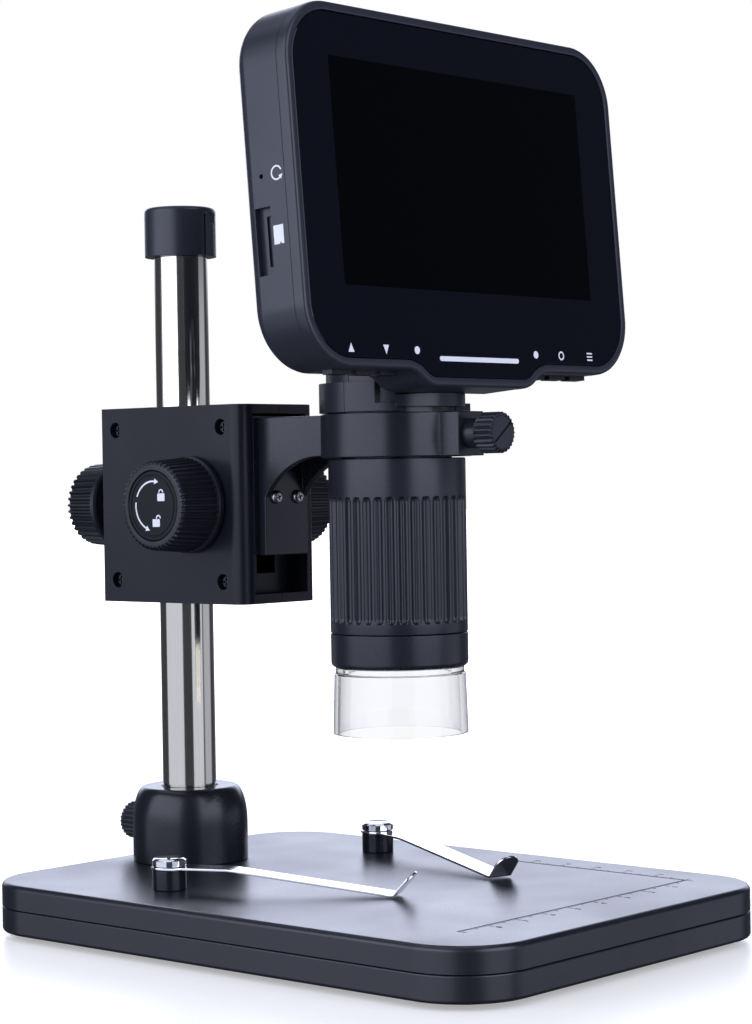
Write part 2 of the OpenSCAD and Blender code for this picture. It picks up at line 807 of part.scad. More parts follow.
module focus_pinion() {
    base_r = pitch_r - 1.25 * tooth_module;
    tip_r = pitch_r + 0.8 * tooth_module;
    half = 360 / pinion_teeth / 4 - 0.7;
    color("#c9a45c") translate([0, shaft_y, shaft_z]) rotate([90, 0, 90]) difference() {
        union() {
            translate([0, 0, -3]) linear_extrude(6) union() {
                circle(r = base_r);
                for (i = [0:pinion_teeth - 1]) {
                    rotate(180 + i * 360 / pinion_teeth) polygon([
                        [base_r - 0.4, -base_r * sin(half * 1.75)], [pitch_r, -pitch_r * sin(half)],
                        [tip_r, -tip_r * sin(half * 0.42)], [tip_r, tip_r * sin(half * 0.42)],
                        [pitch_r, pitch_r * sin(half)], [base_r - 0.4, base_r * sin(half * 1.75)]]);
                }
            }
            for (side = [0, 1]) {
                mirror([0, 0, side]) translate([0, 0, 3])
                    cylinder(r = base_r - 0.4, h = inner_w / 2 - 3 - slide_gap);
            }
        }
        translate([0, 0, -housing_w]) cylinder(d = shaft_d, h = 2 * housing_w);
    }
}

// A focus knob on the +X side, with its bore and the seat of its cap
module focus_knob() {
    translate([housing_w / 2 + knob_gap, shaft_y, shaft_z]) rotate([0, 90, 0]) difference() {
        fluted_knob(knob_d / 2, knob_end_d / 2, knob_l, 48, 0.4);
        translate([0, 0, -cut]) cylinder(d = shaft_d, h = knob_l - 2.2 + cut);
        translate([0, 0, knob_l - 1.6]) cylinder(d = cap_disc_d, h = 2);
    }
}

module focus_knob_right() {
    color("#2b2d36") focus_knob();
}

module focus_knob_left() {
    color("#2b2d36") mirror([1, 0, 0]) focus_knob();
}

module knob_caps() {
    color("#1f2026") for (side = [0, 1]) {
        mirror([side, 0, 0]) translate([housing_w / 2 + knob_gap + knob_l - 1.6, shaft_y, shaft_z])
            rotate([0, 90, 0]) cylinder(d = cap_disc_d, h = 1.4);
    }
}

module ring_thumbscrew() {
    shank = head_y - barrel_r - lug_y - 0.2;
    color("#2e3038") translate([0, lug_y - 0.2 - washer_l, thumb_ring_z]) rotate([90, 0, 0])
        thumbscrew(thumb_l, washer_l, 3.7, shank);
}

// ---- Camera head ----

module barrel() {
    sleeve_low = nose_top - 2;
    color("#2d2f38") translate([0, head_y, 0]) difference() {
        turned([
            [sleeve_r - sleeve_wall, sleeve_low], [sleeve_r, sleeve_low], [sleeve_r, ring_z],
            [barrel_r, ring_z], [barrel_r, flange_z - 0.1], [spigot_r, flange_z - 0.1],
            [spigot_r, spigot_top], [spigot_r - 2, spigot_top], [spigot_r - 2, ring_z + 2],
            [sleeve_r - sleeve_wall, ring_z + 2]]);
        // the slot that the lens cell's pin runs in
        translate([0, 0, cell_z + cell_h / 2 - cell_travel - 1.2])
            translate([-barrel_r, -1.2, 0]) cube([barrel_r, 2.4, 2 * cell_travel + 2.4]);
    }
}

// The whole neck, from the flange to the dome behind the display
module neck_shell() {
    dome_h = 12;
    straight = hump_top - dome_h;
    difference() {
        union() {
            translate([0, head_y, 0]) turned(concat(
                [[spigot_r + 0.1, flange_z], [flange_d / 2, flange_z], [flange_d / 2, flange_top],
                 [neck_r, flange_top]],
                [for (a = [0:10:90]) [neck_r * cos(a), straight + dome_h * sin(a)]],
                [for (a = [90:-10:0]) [(neck_r - shell_t) * cos(a), straight + (dome_h - shell_t) * sin(a)]],
                [[neck_r - shell_t, flange_top + 2], [spigot_r + 0.1, flange_top + 1]]));
            intersection() {
                translate([0, head_y, flange_z]) tube(flange_d / 2, spigot_r + 0.1, block_top - flange_z);
                translate([-flange_d, block_front_y, flange_z]) cube([2 * flange_d, 2 * flange_d, block_top]);
            }
        }
        in_display() translate([-far, -far, -far]) cube([2 * far, far + display_t + 0.05, 2 * far]);
    }
    // the front of the neck, under the display's chin
    difference() {
        translate([0, head_y, flange_top - 1]) tube(neck_r, spigot_r + 0.1, display_under() - flange_top + 4);
        in_display() translate([-far, -far, low_w - chin_drop - 0.05]) cube([2 * far, 2 * far, far]);
        translate([-far, block_front_y + 2, 0]) cube([2 * far, far, far]);
    }
}

// Height of the underside of the display's chin, at its back edge
function display_under() =
    screen_z + (low_w - chin_drop) * cos(display_lean) - display_t * sin(display_lean);

module half_space(front) {
    translate([-far, head_y - (front ? far : 0), 0]) cube([2 * far, far, far]);
}

module neck_front() {
    color("#30323b") intersection() {
        neck_shell();
        half_space(true);
    }
}

module neck_rear() {
    color("#33353f") difference() {
        intersection() {
            neck_shell();
            translate([0, 0.1, 0]) half_space(false);
        }
        at_neck_screws() rotate([-90, 0, 0]) {
            translate([0, 0, -neck_screw_in]) cylinder(d = 2.4, h = 2 * neck_screw_in);
            cylinder(d = 4.6, h = neck_screw_in);
        }
    }
}

module at_neck_screws() {
    for (side = [-1, 1]) {
        translate([side * 7, head_y + sqrt(neck_r * neck_r - 49) - 0.6, block_top + 8]) children();
    }
}

module neck_screws() {
    color("#7d8084") at_neck_screws() rotate([-90, 0, 0]) screw(2.2, 5, 4.2, 1.2);
}

module nose_ring() {
    r = barrel_r;
    bore = shroud_d / 2 - shroud_wall + 0.1;
    color("#2b2d36") translate([0, head_y, 0])
        turned([
            [bore, nose_z], [r - 0.8, nose_z], [r, nose_z + 0.8], [r, nose_top],
            [sleeve_r + 0.1, nose_top], [sleeve_r, nose_top - 2], [sleeve_r - sleeve_wall, nose_top - 2],
            [sleeve_r - sleeve_wall, nose_z + 4.4], [bore, nose_z + 4.4]]);
}

module led_board() {
    color("#e8eae6") translate([0, head_y, nose_z + 3.2])
        tube(shroud_d / 2 - shroud_wall, led_bore_r, 1.2);
}

module leds() {
    color("#f5e9b0") for (i = [0:led_count - 1]) {
        translate([0, head_y, nose_z + 3.2]) rotate([0, 0, i * 360 / led_count]) translate([led_ring_r, 0, 0])
            turned([[0, -2], [0.8, -1.8], [1.4, -1.2], [1.4, 0], [0, 0]]);
    }
}

module shroud() {
    top = shroud_d / 2 - 0.5;
    rim = shroud_d / 2;
    spigot = rim - shroud_wall - 0.2;
    color("#eef2f5", 0.4) translate([0, head_y, 0])
        turned([
            [spigot - 1.6, nose_z + 2.6], [spigot, nose_z + 2.6], [spigot, nose_z - slide_gap / 2],
            [top, nose_z - slide_gap / 2], [rim, shroud_z + 0.8], [rim, shroud_z],
            [rim - shroud_wall, shroud_z], [spigot - 1.6, nose_z - 2.5]]);
}

module focus_ring() {
    groove_low = cell_z + cell_h / 2 - cell_travel - 1.4;
    groove_top = cell_z + cell_h / 2 + cell_travel + 1.4;
    bore = sleeve_r + run_gap;
    color("#2b2d36") translate([0, head_y, 0]) difference() {
        turned([
            [bore, grip_z], [barrel_r, grip_z], [barrel_r, grip_top], [bore, grip_top],
            [bore, groove_top], [bore + 1.5, groove_top], [bore + 1.5, groove_low], [bore, groove_low]]);
        for (i = [0:flute_count - 1]) {
            rotate([0, 0, (i + 0.5) * 360 / flute_count]) translate([0, 0, flute_low])
                linear_extrude(flute_top - flute_low) polygon([
                    [barrel_r - flute_depth, -flute_w / 4], [barrel_r + 0.5, -flute_w * 0.6],
                    [barrel_r + 0.5, flute_w * 0.6], [barrel_r - flute_depth, flute_w / 4]]);
        }
    }
}

module lens_cell() {
    color("#3a3b40") translate([0, head_y, 0]) {
        difference() {
            union() {
                translate([0, 0, cell_z]) cylinder(r = cell_r, h = cell_h);
                translate([0, 0, cell_z + cell_h / 2]) rotate([0, -90, 0]) cylinder(r = 1, h = sleeve_r + 1.2);
            }
            translate([0, 0, cell_z - cut]) cylinder(r = lens_r - 2, h = cell_h + 2 * cut);
            translate([0, 0, cell_z - cut]) cylinder(r = lens_r, h = lens_h + cut);
            translate([0, 0, cell_z + cell_h - lens_h]) cylinder(r = lens_r, h = lens_h + cut);
        }
    }
}

module lenses() {
    color("#b9d3e8", 0.5) translate([0, head_y, cell_z]) {
        turned([[0, 0.2], [lens_r / 2, 0.4], [lens_r, 1.4], [lens_r, lens_h], [0, lens_h]]);
        translate([0, 0, cell_h - lens_h])
            turned([[0, 0], [lens_r, 0], [lens_r, lens_h - 1.6],
                    [lens_r / 2, lens_h - 0.6], [0, lens_h - 0.4]]);
    }
}

module sensor_board() {
    color("#20543a") translate([0, head_y, ring_z - 2]) cylinder(r = sleeve_r - sleeve_wall, h = 1.4);
}

module image_sensor() {
    color("#4d5157") translate([-5, head_y - 5, ring_z - 4]) cube([10, 10, 2]);
}

// ---- Display ----

// Moves its children from the display's own frame: x across, y back from the glass, z up the glass
module in_display() {
    translate([0, head_y - screen_ahead, screen_z]) rotate([-display_lean, 0, 0]) children();
}

// The display's outline grown by g, as points in x and z
function display_outline(g) =
    let (
        w = display_w / 2 + g, r = display_corner + g,
        top = top_w + g, low = low_w - g, chin = low - chin_drop,
        k = chin_r, in_x = chin_flat + g / 2, out_x = in_x + chin_slope
    ) concat(
        arc(w - r, top - r, r, 0, 90, 12), arc(r - w, top - r, r, 90, 180, 12),
        arc(r - w, low + r, r, 180, 270, 12),
        [[-out_x - k / 3, low], [-out_x + k / 3, low - 0.4], [-in_x - k / 3, chin + 0.4], [-in_x + k / 3, chin]],
        [[in_x - k / 3, chin], [in_x + k / 3, chin + 0.4], [out_x - k / 3, low - 0.4], [out_x + k / 3, low]],
        arc(w - r, low + r, r, 270, 360, 12)
    );

// A plate with the display's outline, from y0 back to y1
module display_plate(g, y0, y1) {
    translate([0, y1, 0]) rotate([90, 0, 0]) linear_extrude(y1 - y0) polygon(display_outline(g));
}

module display_frame() {
    color("#35373f") in_display() difference() {
        union() {
            display_plate(-0.5, -0.3, 0);
            display_plate(0, 0, frame_t - 0.1);
        }
        display_plate(-rim_w, -1, glass_t + 0.05);
        display_plate(-rim_w - lip_w, glass_t, frame_t + cut);
    }
    // posts that the back is screwed to
    color("#35373f") in_display() difference() {
        at_display_screws() translate([0, -0.05, 0]) rotate([90, 0, 0])
            cylinder(d = display_post_d, h = inner_t - glass_t - 0.1);
        at_display_screws() translate([0, cut, 0]) rotate([90, 0, 0])
            cylinder(d = 2, h = inner_t - frame_t);
    }
}

// The part of the display round its chin
module chin_block() {
    reach = chin_flat + chin_slope + display_corner;
    translate([-reach, 0, low_w - 2 * chin_drop])
        cube([2 * reach, 2 * display_t, 2 * (chin_drop + display_edge)]);
}

// The tub behind the frame: round at the back, with the chin below it
module display_tub() {
    difference() {
        union() {
            translate([0, frame_t, mid_w]) rotate([-90, 0, 0])
                soft_slab(display_w, display_h, display_t - frame_t, display_corner, display_edge);
            intersection() {
                display_plate(0, frame_t, display_t - display_edge);
                chin_block();
            }
        }
        translate([0, frame_t - cut, mid_w]) rotate([-90, 0, 0])
            plate(display_w - 2 * display_wall, display_h - 2 * display_wall,
                inner_t - frame_t + cut, display_corner - display_wall);
        intersection() {
            display_plate(-display_wall, frame_t - cut, inner_t - display_edge);
            chin_block();
        }
    }
}

module display_housing() {
    side = display_w / 2;
    color("#33353f") in_display() difference() {
        display_tub();
        // card pocket and slot, reset hole, on the left
        translate([-side - cut, card_y, card_low]) cube([display_wall - 0.5 + cut, card_t, card_h]);
        translate([-side - cut, board_y - 2.2, card_low + 2]) cube([display_wall + 1, 1.8, card_h - 4]);
        translate([-side - cut, reset_y, reset_w]) rotate([0, 90, 0]) cylinder(d = 1.2, h = 4);
        // charging port, on the right
        translate([side - display_wall - 1, board_y - 3, usb_w - 4]) cube([display_wall + 2, 3.2, 8]);
        // key holes, in the underside
        for (x = key_at) {
            translate([x - key_w / 2 - key_gap, key_y - key_deep / 2 - key_gap, low_w - 1])
                cube([key_w + 2 * key_gap, key_deep + 2 * key_gap, display_wall + 2]);
        }
        at_display_screws() {
            rotate([-90, 0, 0]) translate([0, 0, -cut]) cylinder(d = 2.6, h = display_wall + 3);
            rotate([-90, 0, 0]) translate([0, 0, display_wall - 1]) cylinder(d = 5, h = 3);
        }
        // the cable's way down into the neck
        translate([-6, inner_t - 1, mid_w - 20]) cube([12, display_wall + 2, 8]);
    }
}

module at_display_screws() {
    for (side = [-1, 1]) {
        for (z = [boss_top, boss_low]) {
            translate([side * boss_x, inner_t, z]) children();
        }
    }
}

module display_screws() {
    color("#7d8084") in_display() at_display_screws() translate([0, display_wall - 1, 0])
        rotate([-90, 0, 0]) screw(2, inner_t - frame_t, 4.6, 0.8);
}

module glass_panel() {
    color("#0b0c10") in_display() display_plate(-rim_w - glass_seat, 0, glass_t);
}

module lcd_panel() {
    color("#15171b") in_display() translate([-lcd_w / 2, glass_t, -lcd_h / 2]) cube([lcd_w, lcd_t, lcd_h]);
}

module main_board() {
    color("#1d5a3c") in_display() difference() {
        translate([0, board_y, low_w + board_h / 2 + display_wall + 2.5]) rotate([-90, 0, 0])
            plate(glass_w - 1, board_h, 1.4, display_corner - 4);
        at_display_screws() translate([0, 1, 0]) rotate([90, 0, 0]) cylinder(d = 6, h = 20);
    }
}

module battery() {
    color("#6f7f96") in_display() translate([-battery_w / 2, inner_t - battery_t, 2])
        cube([battery_w, battery_t, battery_h]);
}

module card_socket() {
    color("#b5b8bb") in_display() translate([-display_w / 2 + display_wall + 0.1, board_y - 2.6, card_low + 0.8])
        difference() {
            cube([card_deep, 2.6, card_h - 1.6]);
            translate([-cut, 0.4, 1.2]) cube([card_deep - 2, 1.8, card_h - 4]);
        }
}

module usb_socket() {
    reach = usb_deep + display_wall - 0.6;
    color("#b5b8bb") in_display()
        translate([display_w / 2 - display_wall - usb_deep, board_y - 2.8, usb_w - usb_w_out / 2])
        difference() {
            cube([reach, 2.8, usb_w_out]);
            translate([1.5, 0.4, 0.4]) cube([reach, 2, usb_w_out - 0.8]);
        }
}

module key_switches() {
    color("#8d9095") in_display() for (x = key_at) {
        translate([x - 2, key_y - 2, low_w + display_wall + 2.5]) cube([4, board_y - key_y + 2, 2.4]);
    }
}

// A key through the underside, with a flange inside that keeps it in
module key(index) {
    x = key_at[index];
    flange = 0.8;
    color("#1d1e23") in_display() translate([x, key_y, low_w]) {
        translate([-key_w / 2, -key_deep / 2, -key_proud]) cube([key_w, key_deep, key_proud + display_wall + 0.5]);
        translate([-key_w / 2 - 0.7, -key_deep / 2 - flange, display_wall + slide_gap])
            cube([key_w + 1.4, key_deep + 2 * flange, 0.9]);
        translate([-1, -1, display_wall + 0.5]) cube([2, 2, 1.5]);
    }
}

module key_up() { key(0); }
module key_down() { key(1); }
module key_snap() { key(2); }
module key_power() { key(3); }
module key_ok() { key(4); }
module key_menu() { key(5); }

base_top();
base_bottom();
base_weight();
rubber_feet();
base_screws();
column_collar();
collar_screws();
clip_posts();
clip_buttons();
clip_left();
clip_right();
collar_thumbscrew();
column_tube();
column_cap();
housing_left();
housing_right();
guide_bushes();
shaft_bushes();
housing_screws();
clamp_knob();
slide_block();
focus_rack();
ring_arm();
arm_screws();
focus_shaft();
focus_pinion();
focus_knob_left();
focus_knob_right();
knob_caps();
ring_thumbscrew();
barrel();
neck_front();
neck_rear();
neck_screws();
sensor_board();
image_sensor();
nose_ring();
led_board();
leds();
shroud();
focus_ring();
lens_cell();
lenses();
display_frame();
display_housing();
glass_panel();
lcd_panel();
main_board();
battery();
card_socket();
usb_socket();
key_switches();
key_up();
key_down();
key_snap();
key_power();
key_ok();
key_menu();
display_screws();
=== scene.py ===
# %% [markdown]
# # A bench microscope with its own screen
#
# The microscope is mostly satin black moulded plastic, with a polished column, bright spring clips,
# a clear shroud and a sheet of black glass. The engineering model already gives each part its true
# size and place, so this lesson dresses that frame: sharp parts get small rounded edges, turned and
# fluted parts are spun anew, and every surface gets a finish made of nodes.

# %% The fixed frame
import json
import math

import bmesh
import bpy
from mathutils import Matrix, Vector

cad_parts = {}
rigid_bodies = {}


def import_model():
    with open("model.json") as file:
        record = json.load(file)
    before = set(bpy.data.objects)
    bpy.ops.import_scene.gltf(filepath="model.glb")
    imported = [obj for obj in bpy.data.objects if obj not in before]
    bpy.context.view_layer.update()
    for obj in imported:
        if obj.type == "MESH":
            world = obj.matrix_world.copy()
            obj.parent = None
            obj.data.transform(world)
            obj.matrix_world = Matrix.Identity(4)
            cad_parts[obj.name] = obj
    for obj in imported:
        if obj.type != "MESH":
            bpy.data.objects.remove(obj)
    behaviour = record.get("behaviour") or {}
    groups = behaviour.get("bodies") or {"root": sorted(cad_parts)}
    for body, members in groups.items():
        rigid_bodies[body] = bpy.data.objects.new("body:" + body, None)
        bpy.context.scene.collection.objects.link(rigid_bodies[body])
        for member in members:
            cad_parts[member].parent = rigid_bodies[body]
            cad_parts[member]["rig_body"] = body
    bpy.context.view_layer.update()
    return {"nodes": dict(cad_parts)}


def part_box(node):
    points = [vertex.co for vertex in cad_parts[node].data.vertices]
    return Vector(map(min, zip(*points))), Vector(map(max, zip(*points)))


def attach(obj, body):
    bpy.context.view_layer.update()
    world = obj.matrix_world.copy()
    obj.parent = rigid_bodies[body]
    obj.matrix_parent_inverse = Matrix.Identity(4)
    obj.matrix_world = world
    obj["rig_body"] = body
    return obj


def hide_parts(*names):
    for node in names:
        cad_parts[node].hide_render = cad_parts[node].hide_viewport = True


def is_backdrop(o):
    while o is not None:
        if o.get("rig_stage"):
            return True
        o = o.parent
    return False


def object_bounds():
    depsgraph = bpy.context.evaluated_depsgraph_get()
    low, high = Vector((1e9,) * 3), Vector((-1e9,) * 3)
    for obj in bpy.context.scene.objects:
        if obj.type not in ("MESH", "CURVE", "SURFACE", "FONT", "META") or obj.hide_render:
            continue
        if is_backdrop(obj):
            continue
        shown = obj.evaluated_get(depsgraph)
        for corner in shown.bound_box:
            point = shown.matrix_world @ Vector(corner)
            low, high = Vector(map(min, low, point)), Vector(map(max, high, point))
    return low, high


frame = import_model()
nodes = frame["nodes"]

# %% [markdown]
# ## Working in millimetres
#
# Blender measures in metres. Small parts are easier to read in millimetres, so every shape is
# modelled in millimetres and brought to metres in one place, when it becomes an object. The object
# then stays at the origin with its place in its mesh, as the frame's own nodes have it.

# %% Places and turns
MM = 0.001


def at(x, y, z=0.0):
    """A place in millimetres."""
    return Matrix.Translation((x, y, z))


def turned(degrees, axis):
    """A turn about an axis of the frame."""
    return Matrix.Rotation(math.radians(degrees), 4, axis)


def quarter_circle(step):
    """Cosine and sine for angles from 0 to 90 degrees."""
    return [(math.cos(math.radians(angle)), math.sin(math.radians(angle))) for angle in range(0, 91, step)]


def node_box(node):
    """Lowest and highest corner of a node, in millimetres."""
    low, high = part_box(node)
    return low / MM, high / MM


# %% From a bmesh to a piece on its body
def make_piece(bm, name, finish, body, replaces=(), place=None, crease=38):
    """Turns a bmesh in millimetres into a shaded object that rides on a body."""
    if place is not None:
        bmesh.ops.transform(bm, matrix=place, verts=bm.verts)
        if place.determinant() < 0:
            bmesh.ops.reverse_faces(bm, faces=bm.faces)
    bmesh.ops.scale(bm, vec=(MM, MM, MM), verts=bm.verts)
    mesh = bpy.data.meshes.new(name)
    bm.to_mesh(mesh)
    bm.free()
    for one in finish if isinstance(finish, (list, tuple)) else [finish]:
        mesh.materials.append(one)
    mesh.shade_smooth()
    mesh.set_sharp_from_angle(angle=math.radians(crease))
    piece = bpy.data.objects.new(name, mesh)
    bpy.context.scene.collection.objects.link(piece)
    level = piece.modifiers.new("even shading", "WEIGHTED_NORMAL")
    level.keep_sharp = True
    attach(piece, body)
    if replaces:
        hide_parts(*replaces)
    print(f"{name}: {len(mesh.polygons)} faces")
    return piece


def join(target, bm, place):
    """Adds one shape to another at a place, and frees it."""
    bmesh.ops.transform(bm, matrix=place, verts=bm.verts)
    holder = bpy.data.meshes.new("holder")
    bm.to_mesh(holder)
    bm.free()
    target.from_mesh(holder)
    bpy.data.meshes.remove(holder)


# %% [markdown]
# ## Rounded edges
#
# No moulded or machined part has a perfectly sharp edge: the small radius is what catches the light
# and draws a part's outline. The edges to round are found by the angle between their two faces, and
# a bevel with three segments is enough for a clean highlight.

# %% Bevel by angle
def bevel(bm, geom, width, segments, affect="EDGES"):
    """Rounds edges, or corners of a flat face."""
    bmesh.ops.bevel(
        bm, geom=geom, offset=width, offset_type="OFFSET", segments=segments, profile=0.5, affect=affect,
        clamp_overlap=False, material=-1,
    )


def soften(bm, width, segments=3, angle=32):
    """Rounds each edge where two faces meet more sharply than the angle."""
    sharp = [e for e in bm.edges if len(e.link_faces) == 2 and e.calc_face_angle() > math.radians(angle)]
    bevel(bm, sharp, width, segments)


def eased_copy(node, name, finish, width):
    """A merged copy of a frame node with rounded edges, which stands for the node."""
    bm = bmesh.new()
    bm.from_mesh(nodes[node].data)
    bmesh.ops.scale(bm, vec=(1 / MM, 1 / MM, 1 / MM), verts=bm.verts)
    bmesh.ops.remove_doubles(bm, verts=bm.verts, dist=0.004)
    bmesh.ops.dissolve_limit(
        bm, angle_limit=math.radians(0.8), use_dissolve_boundaries=False, verts=bm.verts, edges=bm.edges
    )
    soften(bm, width)
    return make_piece(bm, name, finish, nodes[node]["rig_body"], [node])


# %% [markdown]
# ## Turned shapes
#
# Anything that came off a lathe, or looks as if it did, starts as half of its section. The section
# is a chain of a few points, given as radius and height, and a full spin round Z makes the solid.
# Points on the axis collapse into one, so doubles are merged and the normals are made to agree.

# %% Spin a section
def spun(section, steps=96):
    """A closed solid turned about Z from pairs of radius and height."""
    bm = bmesh.new()
    points = [bm.verts.new((radius, 0, height)) for radius, height in section]
    chain = [bm.edges.new(pair) for pair in zip(points, points[1:])]
    if section[0][0] > 0 and section[-1][0] > 0:
        chain.append(bm.edges.new((points[-1], points[0])))
    bmesh.ops.spin(
        bm, geom=points + chain, cent=(0, 0, 0), axis=(0, 0, 1), angle=math.tau, steps=steps, use_merge=True
    )
    bmesh.ops.remove_doubles(bm, verts=bm.verts, dist=0.0005)
    bmesh.ops.recalc_face_normals(bm, faces=bm.faces)
    return bm


# %% [markdown]
# ## Fluted shapes
#
# The focus ring, the knobs and the thumbscrews all have grooves cut along them. Each starts as a
# circle with a fixed number of points for every flute. The circle is extruded from station to
# station, and after each step its points move in by the depth of the groove at that place.

# %% Extrude a circle whose points follow the grooves
def round_groove(width, depth, low, top, end=0.0):
    """Gives the depth of a groove, round across and at its ends, by share of the pitch and height."""

    def groove(share, height):
        across = (share - 0.5) / (width / 2)
        if end and height < low + end:
            along = (low + end - height) / end
        elif end and height > top - end:
            along = (height - top + end) / end
        else:
            along = 0.0 if low - 1e-6 <= height <= top + 1e-6 else 2.0
        left = 1 - across * across - along * along
        return depth * math.sqrt(left) if left > 0 else 0.0

    return groove


def verts_of(made):
    """The points among what an operator made."""
    return [one for one in made if isinstance(one, bmesh.types.BMVert)]


def edges_of(made, ends):
    """The edges among what an operator made that run between some points."""
    ends = set(ends)
    return [one for one in made if isinstance(one, bmesh.types.BMEdge) and set(one.verts) <= ends]


def fluted(stations, flutes, groove, points=8, bore=None):
    """A closed solid round Z from stations: a radius, a height, and how much of the groove it has."""
    bm = bmesh.new()
    verts = bmesh.ops.create_circle(bm, segments=flutes * points, radius=1)["verts"]
    loop = list(bm.edges)
    first = list(loop)
    for number, (radius, height, *share_of_depth) in enumerate(stations):
        open_share = share_of_depth[0] if share_of_depth else 1.0
        if number:
            made = bmesh.ops.extrude_edge_only(bm, edges=loop)["geom"]
            verts = verts_of(made)
            loop = edges_of(made, verts)
        for vert in verts:
            angle = math.atan2(vert.co.y, vert.co.x)
            reach = radius - open_share * groove((angle / math.tau * flutes) % 1.0, height)
            vert.co = (reach * math.cos(angle), reach * math.sin(angle), height)
    if bore:
        bmesh.ops.bridge_loops(bm, edges=first + loop)
    else:
        bmesh.ops.edgeloop_fill(bm, edges=first)
        bmesh.ops.edgeloop_fill(bm, edges=loop)
    bmesh.ops.recalc_face_normals(bm, faces=bm.faces)
    return bm


# %% [markdown]
# ## Slabs and marks
#
# A slab with round corners starts as one square face: its corners are bevelled as points, and the
# face is extruded. Printed marks are the same idea, thinner than a hair: flat faces raised by a few
# hundredths of a millimetre, so that they show in the mesh as well as in the picture.

# %% Flat faces with thickness
def push(bm, faces, offset):
    """Moves a region of faces by an offset, with new walls along its border."""
    made = bmesh.ops.extrude_face_region(bm, geom=faces)["geom"]
    bmesh.ops.delete(bm, geom=[face for face in faces if face.is_valid], context="FACES")
    bmesh.ops.translate(bm, vec=offset, verts=verts_of(made))


def raise_faces(bm, height, low=0.0):
    """Gives flat faces a thickness along Z, from low up by height."""
    bmesh.ops.translate(bm, vec=(0, 0, low), verts=bm.verts)
    made = bmesh.ops.extrude_face_region(bm, geom=bm.faces[:], use_keep_orig=True)["geom"]
    bmesh.ops.translate(bm, vec=(0, 0, height), verts=verts_of(made))
    bmesh.ops.recalc_face_normals(bm, faces=bm.faces)


# %% Flat faces
def polygon(bm, points):
    """One flat face from a few points."""
    return bm.faces.new([bm.verts.new((x, y, 0)) for x, y in points])


def rectangle(bm, x, y, width, length, corner=0.0, segments=8):
    """A flat rectangle about its middle, with round corners if asked."""
    w, l = width / 2, length / 2
    face = polygon(bm, [(x - w, y - l), (x + w, y - l), (x + w, y + l), (x - w, y + l)])
    if corner:
        bevel(bm, list(face.verts), corner, segments, "VERTICES")


def disc(bm, x, y, radius):
    """A flat disc."""
    bmesh.ops.create_circle(bm, cap_ends=True, segments=32, radius=radius, matrix=at(x, y))


def arc_band(bm, x, y, inner, outer, start, end, steps=24):
    """A flat band along an arc, spun from one short edge; angles in degrees."""
    turn = at(x, y) @ turned(start, "Z")
    ends = [bm.verts.new(turn @ Vector((radius, 0, 0))) for radius in (inner, outer)]
    edge = bm.edges.new(ends)
    bmesh.ops.spin(
        bm, geom=ends + [edge], cent=(x, y, 0), axis=(0, 0, 1), angle=math.radians(end - start), steps=steps
    )


def arrow_tip(bm, x, y, radius, angle, size, forward):
    """A small triangle at the end of an arc, pointing along it."""
    turn = at(x, y) @ turned(angle, "Z")
    tip = [(radius - size, 0), (radius + size, 0), (radius, forward * size * 2.0)]
    if forward < 0:
        tip.reverse()
    bm.faces.new([bm.verts.new(turn @ Vector((px, py, 0))) for px, py in tip])


# %% [markdown]
# ## Nodes in a few words
#
# Every finish here is a small graph of nodes. Adding a node, setting its mode and feeding its inputs
# takes many lines when it is written out, so a few helpers do it: an input may be given a number, a
# colour, or the output of another node.

# %% Helpers for nodes
def wire(tree, socket, value):
    """Feeds a socket with a number, a colour, a vector, or another node's output."""
    if isinstance(value, bpy.types.NodeSocket):
        tree.links.new(value, socket)
    elif isinstance(value, tuple):
        socket.default_value = (*value, 1)[:len(socket.default_value)]
    else:
        socket.default_value = value


def add_node(tree, kind, inputs, **settings):
    """Adds a shader node with its settings, and feeds its inputs by name or number."""
    node = tree.nodes.new("ShaderNode" + kind)
    for setting, value in settings.items():
        setattr(node, setting, value)
    for label, value in inputs.items():
        wire(tree, node.inputs[label], value)
    return node


def blend(tree, share, low, high, kind="FLOAT"):
    """A value or a colour between two others."""
    first, result = (6, 2) if kind == "RGBA" else (2, 0)
    return add_node(tree, "Mix", {0: share, first: low, first + 1: high}, data_type=kind).outputs[result]


def calculate(tree, operation, *values, clamp=False):
    """The result of one step of arithmetic."""
    return add_node(tree, "Math", dict(enumerate(values)), operation=operation, use_clamp=clamp).outputs[0]


def ramp(tree, value, start, end, low=0.0, high=1.0, **settings):
    """A value that goes from low to high while another goes from start to end."""
    inputs = {"Value": value, "From Min": start, "From Max": end, "To Min": low, "To Max": high}
    return add_node(tree, "MapRange", inputs, **settings).outputs["Result"]


# %% [markdown]
# ## Effects that several finishes share
#
# Three things make black plastic look real: a fine moulded grain, gloss that is a little uneven
# where hands touch it, and edges that have been rubbed a shade lighter. Metal needs fine lines from
# polishing. Each effect is a node group with named inputs, built once and placed in each finish.

# %% Grain and gloss
def start_group(name, inputs, **outputs):
    """An empty shader group with its sockets; returns the tree, its inputs and its end node."""
    tree = bpy.data.node_groups.new(name, "ShaderNodeTree")
    for label, value in inputs.items():
        kind = "NodeSocketColor" if isinstance(value, tuple) else "NodeSocketFloat"
        socket = tree.interface.new_socket(label, in_out="INPUT", socket_type=kind)
        socket.default_value = (*value, 1) if isinstance(value, tuple) else value
    for label, kind in outputs.items():
        tree.interface.new_socket(label, in_out="OUTPUT", socket_type="NodeSocket" + kind)
    return tree, tree.nodes.new("NodeGroupInput").outputs, tree.nodes.new("NodeGroupOutput").inputs


